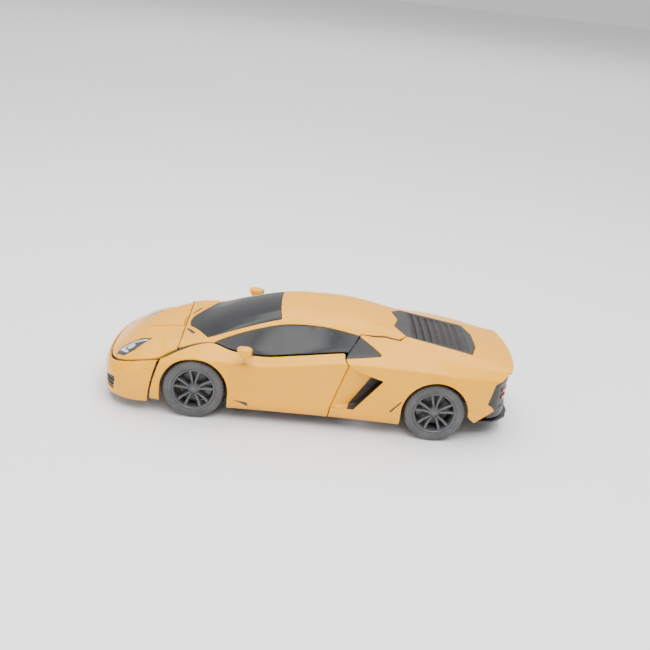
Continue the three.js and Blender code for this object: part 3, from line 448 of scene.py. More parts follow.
def inset(surface, p, at, du, dv, normal, distance):
    """The outline moved inwards in the surface by a distance in millimetres, and the outward directions."""
    along = np.roll(at, -1, 0) - np.roll(at, 1, 0)
    along /= np.linalg.norm(along, axis=1)[:, None]
    out = np.cross(along, normal)
    out /= np.linalg.norm(out, axis=1)[:, None]
    area = 0.5 * np.sum(p[:, 0] * np.roll(p[:, 1], -1) - p[:, 1] * np.roll(p[:, 0], -1))
    if area * surface.sign < 0:
        out = -out
    g11, g12, g22 = (du * du).sum(1), (du * dv).sum(1), (dv * dv).sum(1)
    det = g11 * g22 - g12 * g12
    a, b = -(out * du).sum(1) * distance, -(out * dv).sum(1) * distance
    shift = np.column_stack([(a * g22 - b * g12) / det, (b * g11 - a * g12) / det])
    return p + shift, out


def inside(points, outline):
    x, y = points[:, 0][:, None], points[:, 1][:, None]
    x0, y0 = outline[:, 0][None], outline[:, 1][None]
    x1, y1 = np.roll(outline[:, 0], -1)[None], np.roll(outline[:, 1], -1)[None]
    crosses = (y0 > y) != (y1 > y)
    with np.errstate(divide="ignore", invalid="ignore"):
        at = x0 + (y - y0) * (x1 - x0) / (y1 - y0)
    return (crosses & (x < at)).sum(1) % 2 == 1


def edge_room(at):
    """How far an outline may move before its tight convex turns fold over, for each of its points."""
    before = at - np.roll(at, 1, 0)
    after = np.roll(at, -1, 0) - at
    lb, la = np.linalg.norm(before, axis=1), np.linalg.norm(after, axis=1)
    turn = np.arccos(np.clip((before * after).sum(1) / lb / la, -1, 1))
    room = 0.75 * (lb + la) / 2 / np.maximum(turn, 1e-3)
    for _ in range(4):
        room = np.minimum(room, np.minimum(np.roll(room, 1), np.roll(room, -1)) + 0.25 * (lb + la) / 2)
    return room


GRID_CLEARANCE = 0.55


def shell(surface, outline, us, vs, thick=1.8, radius=0.55, gap=0.18, holes=(), hole_radius=0.35,
          hole_gap=0.0, lift=0.0, undercut=None):
    """Closed shell over a surface inside an outline: rounded rims, inner face at even thickness."""
    count = 0
    tops = []
    for number, line in enumerate([outline, *holes]):
        r, g = (radius, gap) if number == 0 else (hole_radius, hole_gap)
        at, du, dv, normal = frames(surface, line, surface.sign)
        room = edge_room(at)
        distance = np.minimum(r + g, room)
        moved, out = inset(surface, line, at, du, dv, normal, distance if number == 0 else -distance)
        if number:
            out = -out
        tops.append((moved, out, (distance * r / (r + g))[:, None], count, len(moved)))
        count += len(moved)
    lines = [t[0] for t in tops]
    grid_u, grid_v = np.meshgrid(us, vs, indexing="ij")
    grid = np.column_stack([grid_u.ravel(), grid_v.ravel()])
    keep = inside(grid, lines[0])
    for line in lines[1:]:
        keep &= ~inside(grid, line)
    grid = grid[keep]
    if len(grid):
        grid_at = surface.f(grid)
        edge_at = surface.f(np.vstack(lines))
        nearest = np.full(len(grid), np.inf)
        for start in range(0, len(edge_at), 200):
            block = edge_at[start:start + 200]
            nearest = np.minimum(nearest, np.linalg.norm(grid_at[:, None] - block[None], axis=2).min(1))
        grid = grid[nearest > GRID_CLEARANCE]
    flat = np.vstack(lines + [grid])
    scale = np.array([1.0, 1.0 / surface.scale[1] * surface.scale[0]]) / surface.scale[0]
    coords = [Vector(c) for c in flat * scale]
    edges = []
    for _, _, _, start, n in tops:
        edges += [(start + i, start + (i + 1) % n) for i in range(n)]
    _, _, triangles, origin, _, _ = delaunay_2d_cdt(coords, edges, [], 0, 1e-7)
    remap = [o[0] if o else -1 for o in origin]
    tri = np.array([[remap[i] for i in t] for t in triangles if all(remap[i] >= 0 for i in t)])
    middle = flat[tri].mean(1)
    keep = inside(middle, lines[0])
    for line in lines[1:]:
        keep &= ~inside(middle, line)
    tri = tri[keep]
    at, _, _, normal = frames(surface, flat, surface.sign)
    at = at + normal * lift
    face_normal = np.cross(at[tri[:, 1]] - at[tri[:, 0]], at[tri[:, 2]] - at[tri[:, 0]])
    wrong = (face_normal * normal[tri[:, 0]]).sum(1) < 0
    tri[wrong] = tri[wrong][:, ::-1]
    n = len(flat)
    verts = [at, at - normal * thick]
    normals = [normal, -normal]
    faces = [tuple(t) for t in tri] + [tuple(n + i for i in t[::-1]) for t in tri]
    base = 2 * n
    for _, out, r, start, m in tops:
        top, nrm = at[start:start + m], normal[start:start + m]
        rings = [list(range(start, start + m))]
        for angle in (30, 60, 90):
            a = math.radians(angle)
            verts.append(top - nrm * r + r * (math.cos(a) * nrm + math.sin(a) * out))
            normals.append(math.cos(a) * nrm + math.sin(a) * out)
            rings.append(list(range(base, base + m)))
            base += m
        foot = r
        if undercut is not None and start == 0:
            foot = r - undercut(top)[:, None]
        verts.append(top + out * foot - nrm * thick)
        normals.append(out)
        rings.append(list(range(base, base + m)))
        base += m
        rings.append(list(range(n + start, n + start + m)))
        for a, b in zip(rings[:-1], rings[1:]):
            for i in range(m):
                j = (i + 1) % m
                faces.append((a[i], a[j], b[j], b[i]))
    verts = np.vstack(verts)
    normals = np.vstack(normals)
    fixed = []
    for f in faces:
        if len(f) == 4:
            across = np.cross(verts[f[2]] - verts[f[0]], verts[f[3]] - verts[f[1]])
            if across @ (normals[f[0]] + normals[f[2]]) < 0:
                f = f[::-1]
        fixed.append(f)
    return verts, normals, fixed


def mesh_object(name, data, material, body, replaces=(), mirror=False):
    verts, normals, faces = data
    if mirror:
        verts = verts * [1, -1, 1]
        normals = normals * [1, -1, 1]
        faces = [tuple(reversed(f)) for f in faces]
    mesh = bpy.data.meshes.new(name)
    mesh.from_pydata([tuple(v) for v in verts * MM], [], [list(map(int, f)) for f in faces])
    mesh.polygons.foreach_set("use_smooth", [True] * len(mesh.polygons))
    mesh.update()
    mesh.normals_split_custom_set_from_vertices([tuple(v) for v in normals])
    obj = bpy.data.objects.new(name, mesh)
    bpy.context.scene.collection.objects.link(obj)
    mesh.materials.append(MAT[material])
    return finish_piece(obj, body, replaces)


def finish_piece(obj, body, replaces):
    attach(obj, body)
    if replaces:
        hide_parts(*replaces)
    return obj


SIDES = (("left", False), ("right", True))


def pair(name, data, material, body, node=None):
    for side, mirror in SIDES:
        replaces = [f"{node}_{side}"] if node else ()
        mesh_object(f"{name}_{side}", data, material, body.format(side), replaces, mirror=mirror)


def steps(low, high, spacing):
    return np.linspace(low, high, max(2, int(math.ceil((high - low) / spacing)) + 1))


def v_lines(low, high, fine=0.22):
    """Rows across the skin, closer together where a section line is rounded."""
    rows = set()
    for k in range(7):
        w = ROUNDING[k]
        for f in (-1, -0.5, 0, 0.5, 1):
            rows.add(round(k + f * w, 4))
    rows = sorted(r for r in rows if low <= r <= high)
    out = [low]
    for r in rows + [high]:
        gap = r - out[-1]
        if gap < 0.03:
            continue
        n = int(math.ceil(gap / fine))
        out += list(out[-1] + gap * np.arange(1, n + 1) / n)
    return np.array(out)


# ---------------------------------------------------------------- shared outlines
WINDOW_TOP = [(79, 59.4), (58.5, 67.4), (44.5, 71.9), (26.5, 76.3), (8.6, 78.1), (-9.5, 77.9), (-24.2, 76.3),
              (-36.4, 74.4)]
DOOR_REAR = [(-16.1, 10.5), (-17.2, 20.4), (-22, 36.6), (-28.6, 58), (-25.6, 61.6)]
ROOF_REAR = [(-70.2, 0), (-65.8, 17.4), (-75.2, 31.2), (-70, 39.3), (-56.9, 39.4), (-48.8, 41.4), (-37, 41.9)]
WINDSHIELD_FRONT = [(103.7, 0), (102, 11), (95.8, 21.7), (84.6, 42.2)]
WINDSHIELD_SIDE = [(84.6, 42.2), (58, 39), (27, 35)]
COVER_SIDE = [(-75.2, 31.2), (-130.6, 34)]
SCOOP = [(-17.8, 20.6), (-22.6, 36.6), (-29, 57.3), (-39, 53.4), (-57.5, 48.4), (-36.2, 20.6)]
COWL_VENT = [(105.2, 17.2), (103.6, 16.4), (96.8, 27.6), (96.2, 31.6), (98.8, 30.2)]
QUARTER_WINDOW = [(-36.6, 73.9), (-42.3, 71.2), (-54.5, 65), (-53, 64.2), (-25.8, 61.9)]
TAIL_SIDE = [(-163, 58), (-160.6, 56.8), (-148.3, 50.4), (-143.6, 34.3), (-148.5, 30.8), (-150.5, 27),
             (-141, 18.4)]
TAIL_PLAN = [(-169.4, 0), (-168.5, 20), (-166.3, 36), (-162.3, 49)]
# v of the joints from side to hood, from side window to roof and from rear quarter to deck
EDGE_V = 3.98
ROOF_EDGE_V = 4.05
DECK_V = 5.14
HOOD_REAR_X, HOOD_REAR_V = 106.0, 1.9
HOOD_UNDERCUT_X, HOOD_UNDERCUT = 109, 0.85
CHEST_PIVOT = (92.0, 49.0)
HOOD_SWING, COWL_SWING = 16.3, 15.9
CRESCENT_REAR, CRESCENT_FRONT, CRESCENT_WIDTH = 84, 121, 2.3
NOSE_SEAM_SHADE_START = 0.7
GLASS_THICK = 1.1


def arch(centre):
    angle = np.linspace(0, math.pi, 76)
    return np.column_stack([centre + ARCH_RADIUS * np.cos(angle), AXLE_Z + ARCH_RADIUS * np.sin(angle)])


def line_v(x0, x1, v, n=60):
    return np.column_stack([np.linspace(x0, x1, n), np.full(n, v)])


# ---------------------------------------------------------------- side panels, doors and fenders
def fender_top(x0, x1):
    """Upper edge of the side panel; the joint to the hood opens into a slim crescent gap, made dark by a
    painted-shade strip below it.
    """
    x = np.linspace(x0, x1, 160)
    along = np.clip((x - CRESCENT_REAR) / (CRESCENT_FRONT - CRESCENT_REAR), 0, 1)
    width = CRESCENT_WIDTH * np.sin(math.pi * along) ** 0.8
    span = np.linalg.norm(half_skin(x, np.full(160, 4.0)) - half_skin(x, np.full(160, 3.0)), axis=1)
    return np.column_stack([x, EDGE_V - width / span])


def build_side_panels():
    arch_front = arch(WHEEL_X["front"])
    outline = loop(SIDE.f, [
        from_side(smooth([(119.3, 46.5), (119.8, 45.4), (125.3, 25), (126.6, 11)])),
        line_v(126.6, 118.5, 0.16, n=10),
        from_side(dense([(118.5, 11), (118.5, 23.5)])),
        from_side(arch_front),
        from_side(dense([(64.5, 23.5), (64.5, 11)])),
        line_v(64.5, -16, 0.16, n=90),
        from_side(dense(DOOR_REAR)),
        from_side(dense([(-25.6, 61.6), (-25.6, 63.2)])),
        fender_top(-25.6, 118.9),
    ])
    duct = dense([(60.2, 20.2), (47.2, 14.6), (48.6, 18.4), (60.2, 20.2)], 0.6)
    vent = loop(SIDE.f, [from_side(duct)], 0.5)
    data = shell(SIDE, outline, steps(-30, 127, 2.4), v_lines(0.2, 3.95), holes=[vent])
    pair("side_panel", data, "body_yellow", "arm_{}", "side_panel")
    low = fender_top(84.5, 118.6)
    strip = loop(SIDE.f, [low, line_v(118.6, 84.5, EDGE_V + 0.004, n=120)], 0.25)
    # Painted shade: a near-black strip just under the skin fills the crescent so that it reads dark.
    pair("fender_seam_shade", shell(SIDE, strip, steps(84, 119, 2.4), v_lines(3.7, 4, 0.03), 1.2, 0.1, 0.0,
                              lift=-0.3), "seam_shade_black", "arm_{}")
    pair("sill_duct", shell(SIDE, vent, steps(46, 62, 1.5), np.linspace(0.5, 2, 30), 1.0, 0.1, 0.05,
                            lift=-0.5), "grille", "arm_{}")


def build_rear_quarters():
    window = dense(QUARTER_WINDOW[::-1])
    outline = loop(SIDE.f, [
        line_v(-74, -16.6, 0.16, n=60),
        from_side(dense([(x - 0.5, z) for x, z in DOOR_REAR])),
        from_side(window[1:]),
        from_side([(-37.2, 74.6)]),
        from_plan(dense(ROOF_REAR[:1:-1])),
        from_plan(dense(COVER_SIDE)),
        line_v(-132, -167, DECK_V, n=40),
        from_plan(dense(TAIL_PLAN[2:])),
        from_side(dense(TAIL_SIDE[1:-1])),
        from_side(np.array([(-149 + math.sqrt(625 - (38 - z) ** 2), z) for z in np.linspace(17.8, 22.3, 8)])),
        from_side([(-128, 24.2)]),
        from_side(arch(WHEEL_X["rear"])[::-1]),
        from_side(dense([(-74, 24.5), (-74, 10.8)])),
    ])
    scoop = loop(SIDE.f, [from_side(dense(SCOOP + SCOOP[:1]))], 1.0)
    slash = loop(SIDE.f, [from_side(dense([(-74, 34.4), (-72.9, 31.6), (-65.8, 22.6), (-64.4, 23.2),
                                           (-74, 34.4)], 0.5))], 0.3)
    data = shell(SIDE, outline, steps(-168, -15, 2.4), v_lines(0.2, 5.12), holes=[scoop, slash])
    pair("rear_quarter", data, "body_yellow", "legs", "rear_quarter")
    # Painted shade: a near-black piece sunk in the slash groove so that the groove reads as shaded.
    pair("slash_groove_shade", shell(SIDE, slash, steps(-76, -62, 1.2), np.linspace(0.5, 2.2, 40), 1.0, 0.1, 0.03,
                              lift=-0.35), "seam_shade_black", "legs")


def cowl_edge(reach=COWL_SWING, depth=0.0):
    """A line across the cowl at one distance from the chest hinge, some way below the skin."""
    q = np.linspace(1.82, 0, 70)
    x = np.full(70, HOOD_REAR_X)
    for _ in range(20):
        z = across_surface(np.column_stack([x, q]))[:, 2] - depth
        x = CHEST_PIVOT[0] + np.sqrt(reach ** 2 - (z - CHEST_PIVOT[1]) ** 2)
    return np.column_stack([x, q])


def build_cowl_seam_shade(vs):
    """Near-black lip in the seam at the cowl's edge, inside the circle that the hood sweeps: painted shade
    for the seam.
    """
    front = cowl_edge(COWL_SWING + 0.1, 1.0)
    front = front[front[:, 1] < 1.75]
    half = np.vstack([front[::-1] - [1.8, 0], front])
    outline = loop(ACROSS.f, [both_sides(half)], 0.3)
    mesh_object("cowl_seam_shade", shell(ACROSS, outline, steps(100, 109, 0.6), vs, 2.0, 0.1, 0.0, lift=-0.75),
                "seam_shade_black", "torso")


def build_roof():
    half = np.vstack([
        to_across(from_plan(dense(ROOF_REAR[:3] + [(-69.4, 38.2), (-57, 38.3), (-49.2, 40.4), (-37, 41.7)]))),
        to_across(from_side(dense([(-36.9, 75.5), (-36.6, 74.6)]))),
        to_across(from_side(smooth(WINDOW_TOP)[::-1])),
        to_across(line_v(79, 102, ROOF_EDGE_V, n=26)),
        cowl_edge(),
    ])
    outline = loop(ACROSS.f, [both_sides(half)], 1.3)
    glass = np.vstack([
        to_across(from_plan(smooth(WINDSHIELD_FRONT), 4.5)),
        to_across(from_plan(dense(WINDSHIELD_SIDE), 4.5)),
        to_across(from_plan(smooth([(27, 35), (28.2, 18), (28.6, 0)]), 4.5)),
    ])
    hole = loop(ACROSS.f, [both_sides(glass)], 1.5)
    rows = 6 - v_lines(4.06, 6, 0.16)
    vs = np.concatenate([rows, -rows[:-1][::-1]])
    vent = to_across(from_plan(dense(COWL_VENT + COWL_VENT[:1], 0.5)))
    vents = [loop(ACROSS.f, [vent * [1, side]], 0.5) for side in (1, -1)]
    data = shell(ACROSS, outline, steps(-76, 108, 2.4), np.unique(vs), holes=[hole, *vents])
    mesh_object("roof_shell", data, "body_yellow", "torso", ["roof_shell"])
    build_cowl_seam_shade(np.unique(vs))
    # Painted shade: a near-black strip sunk under the seam at the roof's rear edge so that the seam reads
    # dark.
    seam = [(-69.9, 38.6), (-57, 38.4), (-49.2, 40.5), (-42, 41.4), (-48.8, 41.2), (-56.9, 39.3), (-70, 39.2)]
    line = loop(ACROSS.f, [to_across(from_plan(dense(seam + seam[:1], 0.5)))], 0.15)
    pair("roof_seam_shade", shell(ACROSS, line, steps(-72, -40, 1.5), np.unique(vs), 1.1, 0.08, 0.0, lift=-0.3),
         "seam_shade_black", "torso")
    pair("cowl_vent", shell(ACROSS, vents[0], steps(95, 107, 1.2), np.unique(vs), 1.0, 0.1, 0.03,
                            lift=-0.45), "grille", "torso")
    data = shell(ACROSS, hole, steps(26, 104, 2.6), np.unique(vs), GLASS_THICK, 0.4, 0.3, lift=-0.15)
    mesh_object("windshield", data, "smoked_glass", "torso", ["windshield"])


def build_windows():
    outline = loop(SIDE.f, [
        from_side(smooth(WINDOW_TOP)),
        from_side(dense([(-36.4, 74.2), (-27.4, 63.7)])),
        line_v(-27.2, 78, 4.03, n=110),
    ], 1.0)
    data = shell(SIDE, outline, steps(-37, 79, 2.6), v_lines(4.02, 4.97), GLASS_THICK, 0.4, 0.25, lift=-0.15)
    pair("side_window", data, "smoked_glass", "torso", "side_window")
    outline = loop(SIDE.f, [from_side(dense(QUARTER_WINDOW + QUARTER_WINDOW[:1]))], 0.8)
    data = shell(SIDE, outline, steps(-55, -25, 2.6), v_lines(3.4, 4.97), GLASS_THICK, 0.35, 0.25, lift=-0.2)
    pair("quarter_window", data, "smoked_glass", "legs", "quarter_window")


def cover_surface(p):
    """The rear cover sinks a little and carries cross slats."""
    points = across_surface(p)
    y = np.abs(points[:, 1])
    x = points[:, 0]
    limit = np.minimum(1, np.maximum(0, (30.2 - y) / 1.2))
    limit = limit * np.clip((-78 - x) / 2, 0, 1) * np.clip((x + 129) / 2, 0, 1)
    phase = ((x + 129) / 6.4) % 1
    slat = np.where(phase < 0.8, phase / 0.8, (1 - phase) / 0.2)
    points[:, 2] -= limit * (2.2 * (1 - slat) + 0.1)
    return points


def build_rear_covers():
    cover = Surface(cover_surface, (1, 0.05), 1)
    half = to_across(from_plan(dense(ROOF_REAR[:3] + [(-130.6, 34), (-136.3, 14.2), (-136.3, 0)]), 4.5))
    outline = loop(ACROSS.f, [both_sides(half)], 1.2)
    rows = 6 - v_lines(4.9, 6, 0.1)
    vs = np.unique(np.concatenate([rows, -rows]))
    data = shell(cover, outline, steps(-136, -66, 0.8), vs, 1.6, 0.4, 0.25)
    mesh_object("engine_cover", data, "trim_black", "legs", ["engine_cover"])
    half = np.vstack([
        to_across(from_plan(dense([(-136.3, 0), (-136.3, 14.2), (-131.4, 31.2)]), 4.5)),
        to_across(line_v(-133, -167, DECK_V, n=40)),
        to_across(from_plan(dense([(-167, 31.5), (-168.5, 20), (-169.4, 0)]), 4.5)),
    ])
    outline = loop(ACROSS.f, [both_sides(half)], 1.2)
    data = shell(ACROSS, outline, steps(-169, -130, 2.2), vs, 1.8, 0.5, 0.2)
    mesh_object("rear_deck", data, "body_yellow", "legs", ["rear_deck"])


def scoop_surface(p):
    """Side intake: u from the door edge to the rear lip, w from the sill to the shoulder."""
    u, w = p[:, 0], p[:, 1]
    front = np.array([(-18.0, 20.9), (-22.9, 36.7), (-29.3, 57.0)])
    lower = w < 0.5
    f = np.where(lower, 2 * w, 2 * w - 1)[:, None]
    a = np.where(lower[:, None], front[0], front[1])
    b = np.where(lower[:, None], front[1], front[2])
    at_front = a + (b - a) * f
    at_back = np.array([(-36.4, 20.9)]) + np.array([(-20.6, 27.2)]) * w[:, None]
    xz = at_front + (at_back - at_front) * u[:, None]
    v = search(lambda m: half_skin(xz[:, 0], m)[:, 2], xz[:, 1], 0.0, 4.9, True)
    points = half_skin(xz[:, 0], v)
    edge = np.minimum(1, np.sin(math.pi * np.clip(w, 0, 1)) * 4)
    points[:, 1] -= 0.5 + 8.6 * u * edge
    return points


# ---------------------------------------------------------------- nose
BUMPER_TOP = [(120.45, 62.5, 45.8), (127, 62.8, 44.8), (136, 61.1, 42.8), (147, 55.5, 39.1),
              (156.4, 46.7, 35.5), (162.6, 35.1, 33), (166.2, 17.9, 31.5), (167.3, 0, 31)]
BUMPER_MID = [(125.6, 66.6, 25), (131, 66.8, 25), (139, 65.3, 25), (150, 60.5, 24.3), (160, 51.5, 23.6),
              (165.7, 38, 23.2), (168.8, 19, 23), (169.4, 0, 23)]
BUMPER_LOW = [(127.3, 64.6, 9.5), (132, 64.6, 9.5), (139, 63.2, 9), (149.5, 58.5, 8.6), (159, 49.8, 8.3),
              (164.5, 36.5, 8), (167.5, 18.5, 8), (168, 0, 8)]
HOOD_SIDE = [(114, 57.8, 50.6), (120.9, 60.1, 46.9), (127, 60.8, 45.3), (136, 59.2, 43.3), (147, 53.9, 39.5),
             (155.8, 45.7, 36.2)]
HOOD_NOSE = [(155.8, 45.7, 36.2), (161.7, 34.2, 33.4), (165.2, 17.6, 31.8), (166.2, 0, 31.2)]
HOOD_CROWN = 8.2


def path_of(points):
    line = smooth(points, 0.15)
    s = running_length(line)
    s /= s[-1]
    knots = [0.0]
    for p in points[1:]:
        knots.append(s[int(np.argmin(np.linalg.norm(line - np.array(p), axis=1)))])
    even = np.linspace(0, 1, len(points))
    return lambda t: np.column_stack([np.interp(np.interp(t, even, knots), s, line[:, k]) for k in range(3)])


PATHS = {name: path_of(points) for name, points in (
    ("top", BUMPER_TOP), ("mid", BUMPER_MID), ("low", BUMPER_LOW), ("nose", HOOD_NOSE))}
hood_corner = across_surface(np.array([[HOOD_REAR_X, HOOD_REAR_V]]))[0]
PATHS["side"] = path_of([tuple(hood_corner), *HOOD_SIDE])


def mirrored_y(points, where):
    points[:, 1] *= np.where(where < 0, -1, 1)
    return points


def bumper_surface(p):
    t, h = p[:, 0], p[:, 1][:, None]
    along = 1 - np.abs(t)
    low, mid, top = PATHS["low"](along), PATHS["mid"](along), PATHS["top"](along)
    m = 0.42
    points = (low * ((h - m) * (h - 1) / m) + mid * (h * (h - 1) / (m * (m - 1)))
              + top * (h * (h - m) / (1 - m)))
    return mirrored_y(points, t)


def hood_surface(p):
    u, w = p[:, 0], p[:, 1]
    share = u[:, None]
    rear = across_surface(np.column_stack([np.full(len(u), HOOD_REAR_X), HOOD_REAR_V * w]))
    nose = mirrored_y(PATHS["nose"](1 - np.abs(w)), w)
    side = PATHS["side"](u)
    tip = PATHS["nose"](np.zeros(len(u)))
    corner = hood_corner * (1 - share) + tip * share
    flip = np.array([1, -1, 1])
    left = (side - corner) * ((1 + w) / 2)[:, None]
    right = (side - corner) * flip * ((1 - w) / 2)[:, None]
    points = rear * (1 - share) + nose * share + left + right
    points[:, 2] += HOOD_CROWN * np.sin(math.pi * u) * np.cos(math.pi / 2 * w)
    return points


BUMPER = Surface(bumper_surface, (0.01, 0.02), 1)
HOOD = Surface(hood_surface, (0.02, 0.02), 1)


def invert(surface, targets, axes, start):
    """Parameters whose point has the given two coordinates."""
    p = np.array(start, float)
    for _ in range(12):
        at, du, dv, _ = frames(surface, p, 1)
        error = targets - at[:, axes]
        a, b = du[:, axes], dv[:, axes]
        det = a[:, 0] * b[:, 1] - a[:, 1] * b[:, 0]
        p += np.column_stack([(error[:, 0] * b[:, 1] - error[:, 1] * b[:, 0]) / det,
                              (a[:, 0] * error[:, 1] - a[:, 1] * error[:, 0]) / det]) * 0.8
    return p


def guess(surface, targets, axes, us, vs):
    grid = np.array([(u, v) for u in us for v in vs])
    at = surface.f(grid)[:, axes]
    return grid[np.linalg.norm(at[None] - targets[:, None], axis=2).argmin(1)]


def outline_on(surface, points, axes, us, vs, step=0.8):
    targets = dense(list(points) + [points[0]], step)
    return invert(surface, targets, axes, guess(surface, targets, axes, us, vs))


HOOD_RIB = [(0.03, -0.16), (0.3, -0.115), (0.56, -0.075), (0.575, -0.06), (0.575, 0.06), (0.56, 0.075),
            (0.3, 0.115), (0.03, 0.16)]
HEADLIGHT = [(129.5, 32), (140.5, 27), (156, 27.5), (158.8, 35), (150.5, 46), (142, 44.5)]
HEADLIGHT_STRIP = [(133, 33.2), (143, 30.3), (154.6, 31.2), (155.6, 33.4), (149, 43.2), (147.4, 42.4),
                   (152, 33.4), (143, 32.6), (134.4, 34.8)]
HEADLIGHT_SPOT = [(146.2 + 3.1 * math.cos(a), 36.6 + 2.6 * math.sin(a))
                  for a in np.linspace(0, 2 * math.pi, 25)[:-1]]
INTAKE_SIDE = [(24, 12.5), (54, 12.5), (57, 25), (46, 23), (30, 17.5)]
INTAKE_MIDDLE = [(-19, 12), (19, 12), (23, 18), (-23, 18)]


def flipped(points):
    return [(x, -y) for x, y in points][::-1]


def flipped_y(points):
    return [(-y, z) for y, z in points][::-1]


def edge_line(fixed, n, which, low=-1.0, high=1.0):
    run = np.linspace(low, high, n)
    return np.column_stack([np.full(n, fixed), run] if which == 0 else [run, np.full(n, fixed)])


def rectangle(u0, u1, v0, v1, across, along):
    """Outline of a rectangle in parameter space: lines of constant v have across points, the others along."""
    return [edge_line(v0, across, 1, u0, u1), edge_line(u1, along, 0, v0, v1),
            edge_line(v1, across, 1, u1, u0), edge_line(u0, along, 0, v1, v0)]


def build_hood():
    w = np.linspace(-1, 1, 130)
    u = np.zeros(130)
    for _ in range(30):
        at = hood_surface(np.column_stack([u, w]))
        want = CHEST_PIVOT[0] + np.sqrt(HOOD_SWING ** 2 - (at[:, 2] - CHEST_PIVOT[1]) ** 2) - 0.1
        u += (want - at[:, 0]) / 60
    rear = np.column_stack([u, w])
    outline = loop(HOOD.f, [
        rear, edge_line(1.0, 120, 1, u[-1], 1.0)[1:], edge_line(1.0, 150, 0, 1.0, -1.0),
        edge_line(-1.0, 120, 1, 1.0, u[0])[:-1],
    ], 1.6, 0.5)
    coarse = (np.linspace(0.2, 0.98, 40), np.linspace(-0.98, 0.98, 80))
    holes = [loop(HOOD.f, [outline_on(HOOD, points, (0, 1), *coarse)], 1.4)
             for points in (HEADLIGHT, flipped(HEADLIGHT))]
    undercut = lambda top: np.where(top[:, 0] < HOOD_UNDERCUT_X, HOOD_UNDERCUT, 0.0)
    us, ws = np.linspace(0, 1, 50), np.linspace(-1, 1, 101)
    rib = loop(HOOD.f, [dense(HOOD_RIB + HOOD_RIB[:1], 0.012)], 0.8)
    holes.append(rib)
    data = shell(HOOD, outline, us, ws, 1.8, 0.5, 0.15, holes, 0.3, undercut=undercut)
    mesh_object("hood", data, "body_yellow", "chest", ["hood"])
    data = shell(HOOD, rib, us, ws, 2.6, 0.45, 0.4, lift=0.8)
    mesh_object("hood_rib", data, "body_yellow", "chest")
    for side, hole in zip(("left", "right"), holes):
        grid = np.linspace(0, 1, 60), np.linspace(-1, 1, 110)
        data = shell(HOOD, hole, *grid, 1.4, 0.35, 0.2, lift=-0.1)
        mesh_object(f"headlight_{side}", data, "lamp_dark", "chest", [f"headlight_{side}"])
        for part, shape, radius in (("strip", HEADLIGHT_STRIP, 0.3), ("spot", HEADLIGHT_SPOT, 0.9)):
            shape = shape if side == "left" else flipped(shape)
            line = loop(HOOD.f, [outline_on(HOOD, shape, (0, 1), *coarse, 0.4)], radius)
            data = shell(HOOD, line, *grid, 0.7, 0.2, 0.02, lift=0.18)
            mesh_object(f"headlight_{part}_{side}", data, "lamp_clear", "chest")


def build_bumper():
    outline = loop(BUMPER.f, rectangle(-1.0, 1.0, 0.0, 1.0, 300, 44), 2.2, 0.6)
    coarse = (np.linspace(-0.95, 0.95, 140), np.linspace(0.05, 0.95, 40))
    holes = [loop(BUMPER.f, [outline_on(BUMPER, points, (1, 2), *coarse)], 1.8)
             for points in (INTAKE_SIDE, flipped_y(INTAKE_SIDE), INTAKE_MIDDLE)]
    data = shell(BUMPER, outline, np.linspace(-1, 1, 120), np.linspace(0, 1, 24), 1.8, 0.5, 0.15, holes, 0.5)
    mesh_object("front_bumper", data, "body_yellow", "chest", ["front_bumper"])
    grid = np.linspace(-1, 1, 200), np.linspace(0, 1, 60)
    for name, hole in zip(("left", "right", "middle"), holes):
        mesh_object(f"intake_mesh_{name}", shell(BUMPER, hole, *grid, 0.8, 0.2, 0.05, lift=-1.5), "grille",
                    "chest")
    for level, low in enumerate(((25, 14.6), (30.5, 18.2), (39, 21.4))):
        slat = [low, (57, low[1] + 0.8), (57, low[1] + 2.0), (low[0] + 1.5, low[1] + 1.2)]
        line = loop(BUMPER.f, [outline_on(BUMPER, slat, (1, 2), *coarse)], 0.3)
        pair(f"intake_slat_{level + 1}", shell(BUMPER, line, *grid, 1.0, 0.3, 0.0, lift=-0.6), "trim_black",
             "chest")


# ---------------------------------------------------------------- intakes, tail and lamps
SCOOP_FACE = Surface(scoop_surface, (0.04, 0.02), 1)


def build_scoops():
    def floor_part(u0, u1, w0, w1):
        return loop(SCOOP_FACE.f, [
            edge_line(u0, 60, 0, w0, w1), edge_line(w1, 40, 1, u0, u1), edge_line(u1, 60, 0, w1, w0),
            edge_line(w0, 40, 1, u1, u0),
        ], 0.9)
    data = shell(SCOOP_FACE, floor_part(0.0, 0.71, 0.0, 1.0), np.linspace(0, 1, 22), np.linspace(0, 1, 34),
                 1.2, 0.25, 0.1)
    pair("intake_scoop", data, "body_yellow", "legs", "intake_scoop")
    data = shell(SCOOP_FACE, floor_part(0.71, 1.0, 0.0, 1.0), np.linspace(0, 1, 40), np.linspace(0, 1, 34),
                 1.2, 0.25, 0.1, lift=-0.3)
    pair("intake_duct", data, "grille", "legs")


FASCIA_LINE = smooth([(-145, 57.5), (-152, 54), (-158, 48), (-162, 39.5), (-164.6, 24), (-165.4, 0)], 0.2)
FASCIA_LENGTH = running_length(FASCIA_LINE)


def fascia_surface(p):
    t, h = p[:, 0], p[:, 1]
    s = (1 - np.abs(t)) * FASCIA_LENGTH[-1]
    x = np.interp(s, FASCIA_LENGTH, FASCIA_LINE[:, 0])
    y = np.interp(s, FASCIA_LENGTH, FASCIA_LINE[:, 1]) * np.where(t < 0, -1, 1)
    z = 18.6 + 34.4 * h * (0.6 + 0.4 * h)
    drop = np.maximum(38 - z, 0)
    x = np.where(drop > 0, np.maximum(x, -149 - np.sqrt(np.maximum(441 - drop ** 2, 0))), x)
    points = np.column_stack([x, y, z])
    belt = np.clip((np.abs(h - 0.60) - 0.24) / 0.035, 0, 1)
    reach = np.clip((0.84 - np.abs(t)) / 0.02, 0, 1)
    sink = 1.1 * (1 - belt) * reach
    points[:, 0] += sink
    return points


FASCIA = Surface(fascia_surface, (0.02, 0.02), -1)


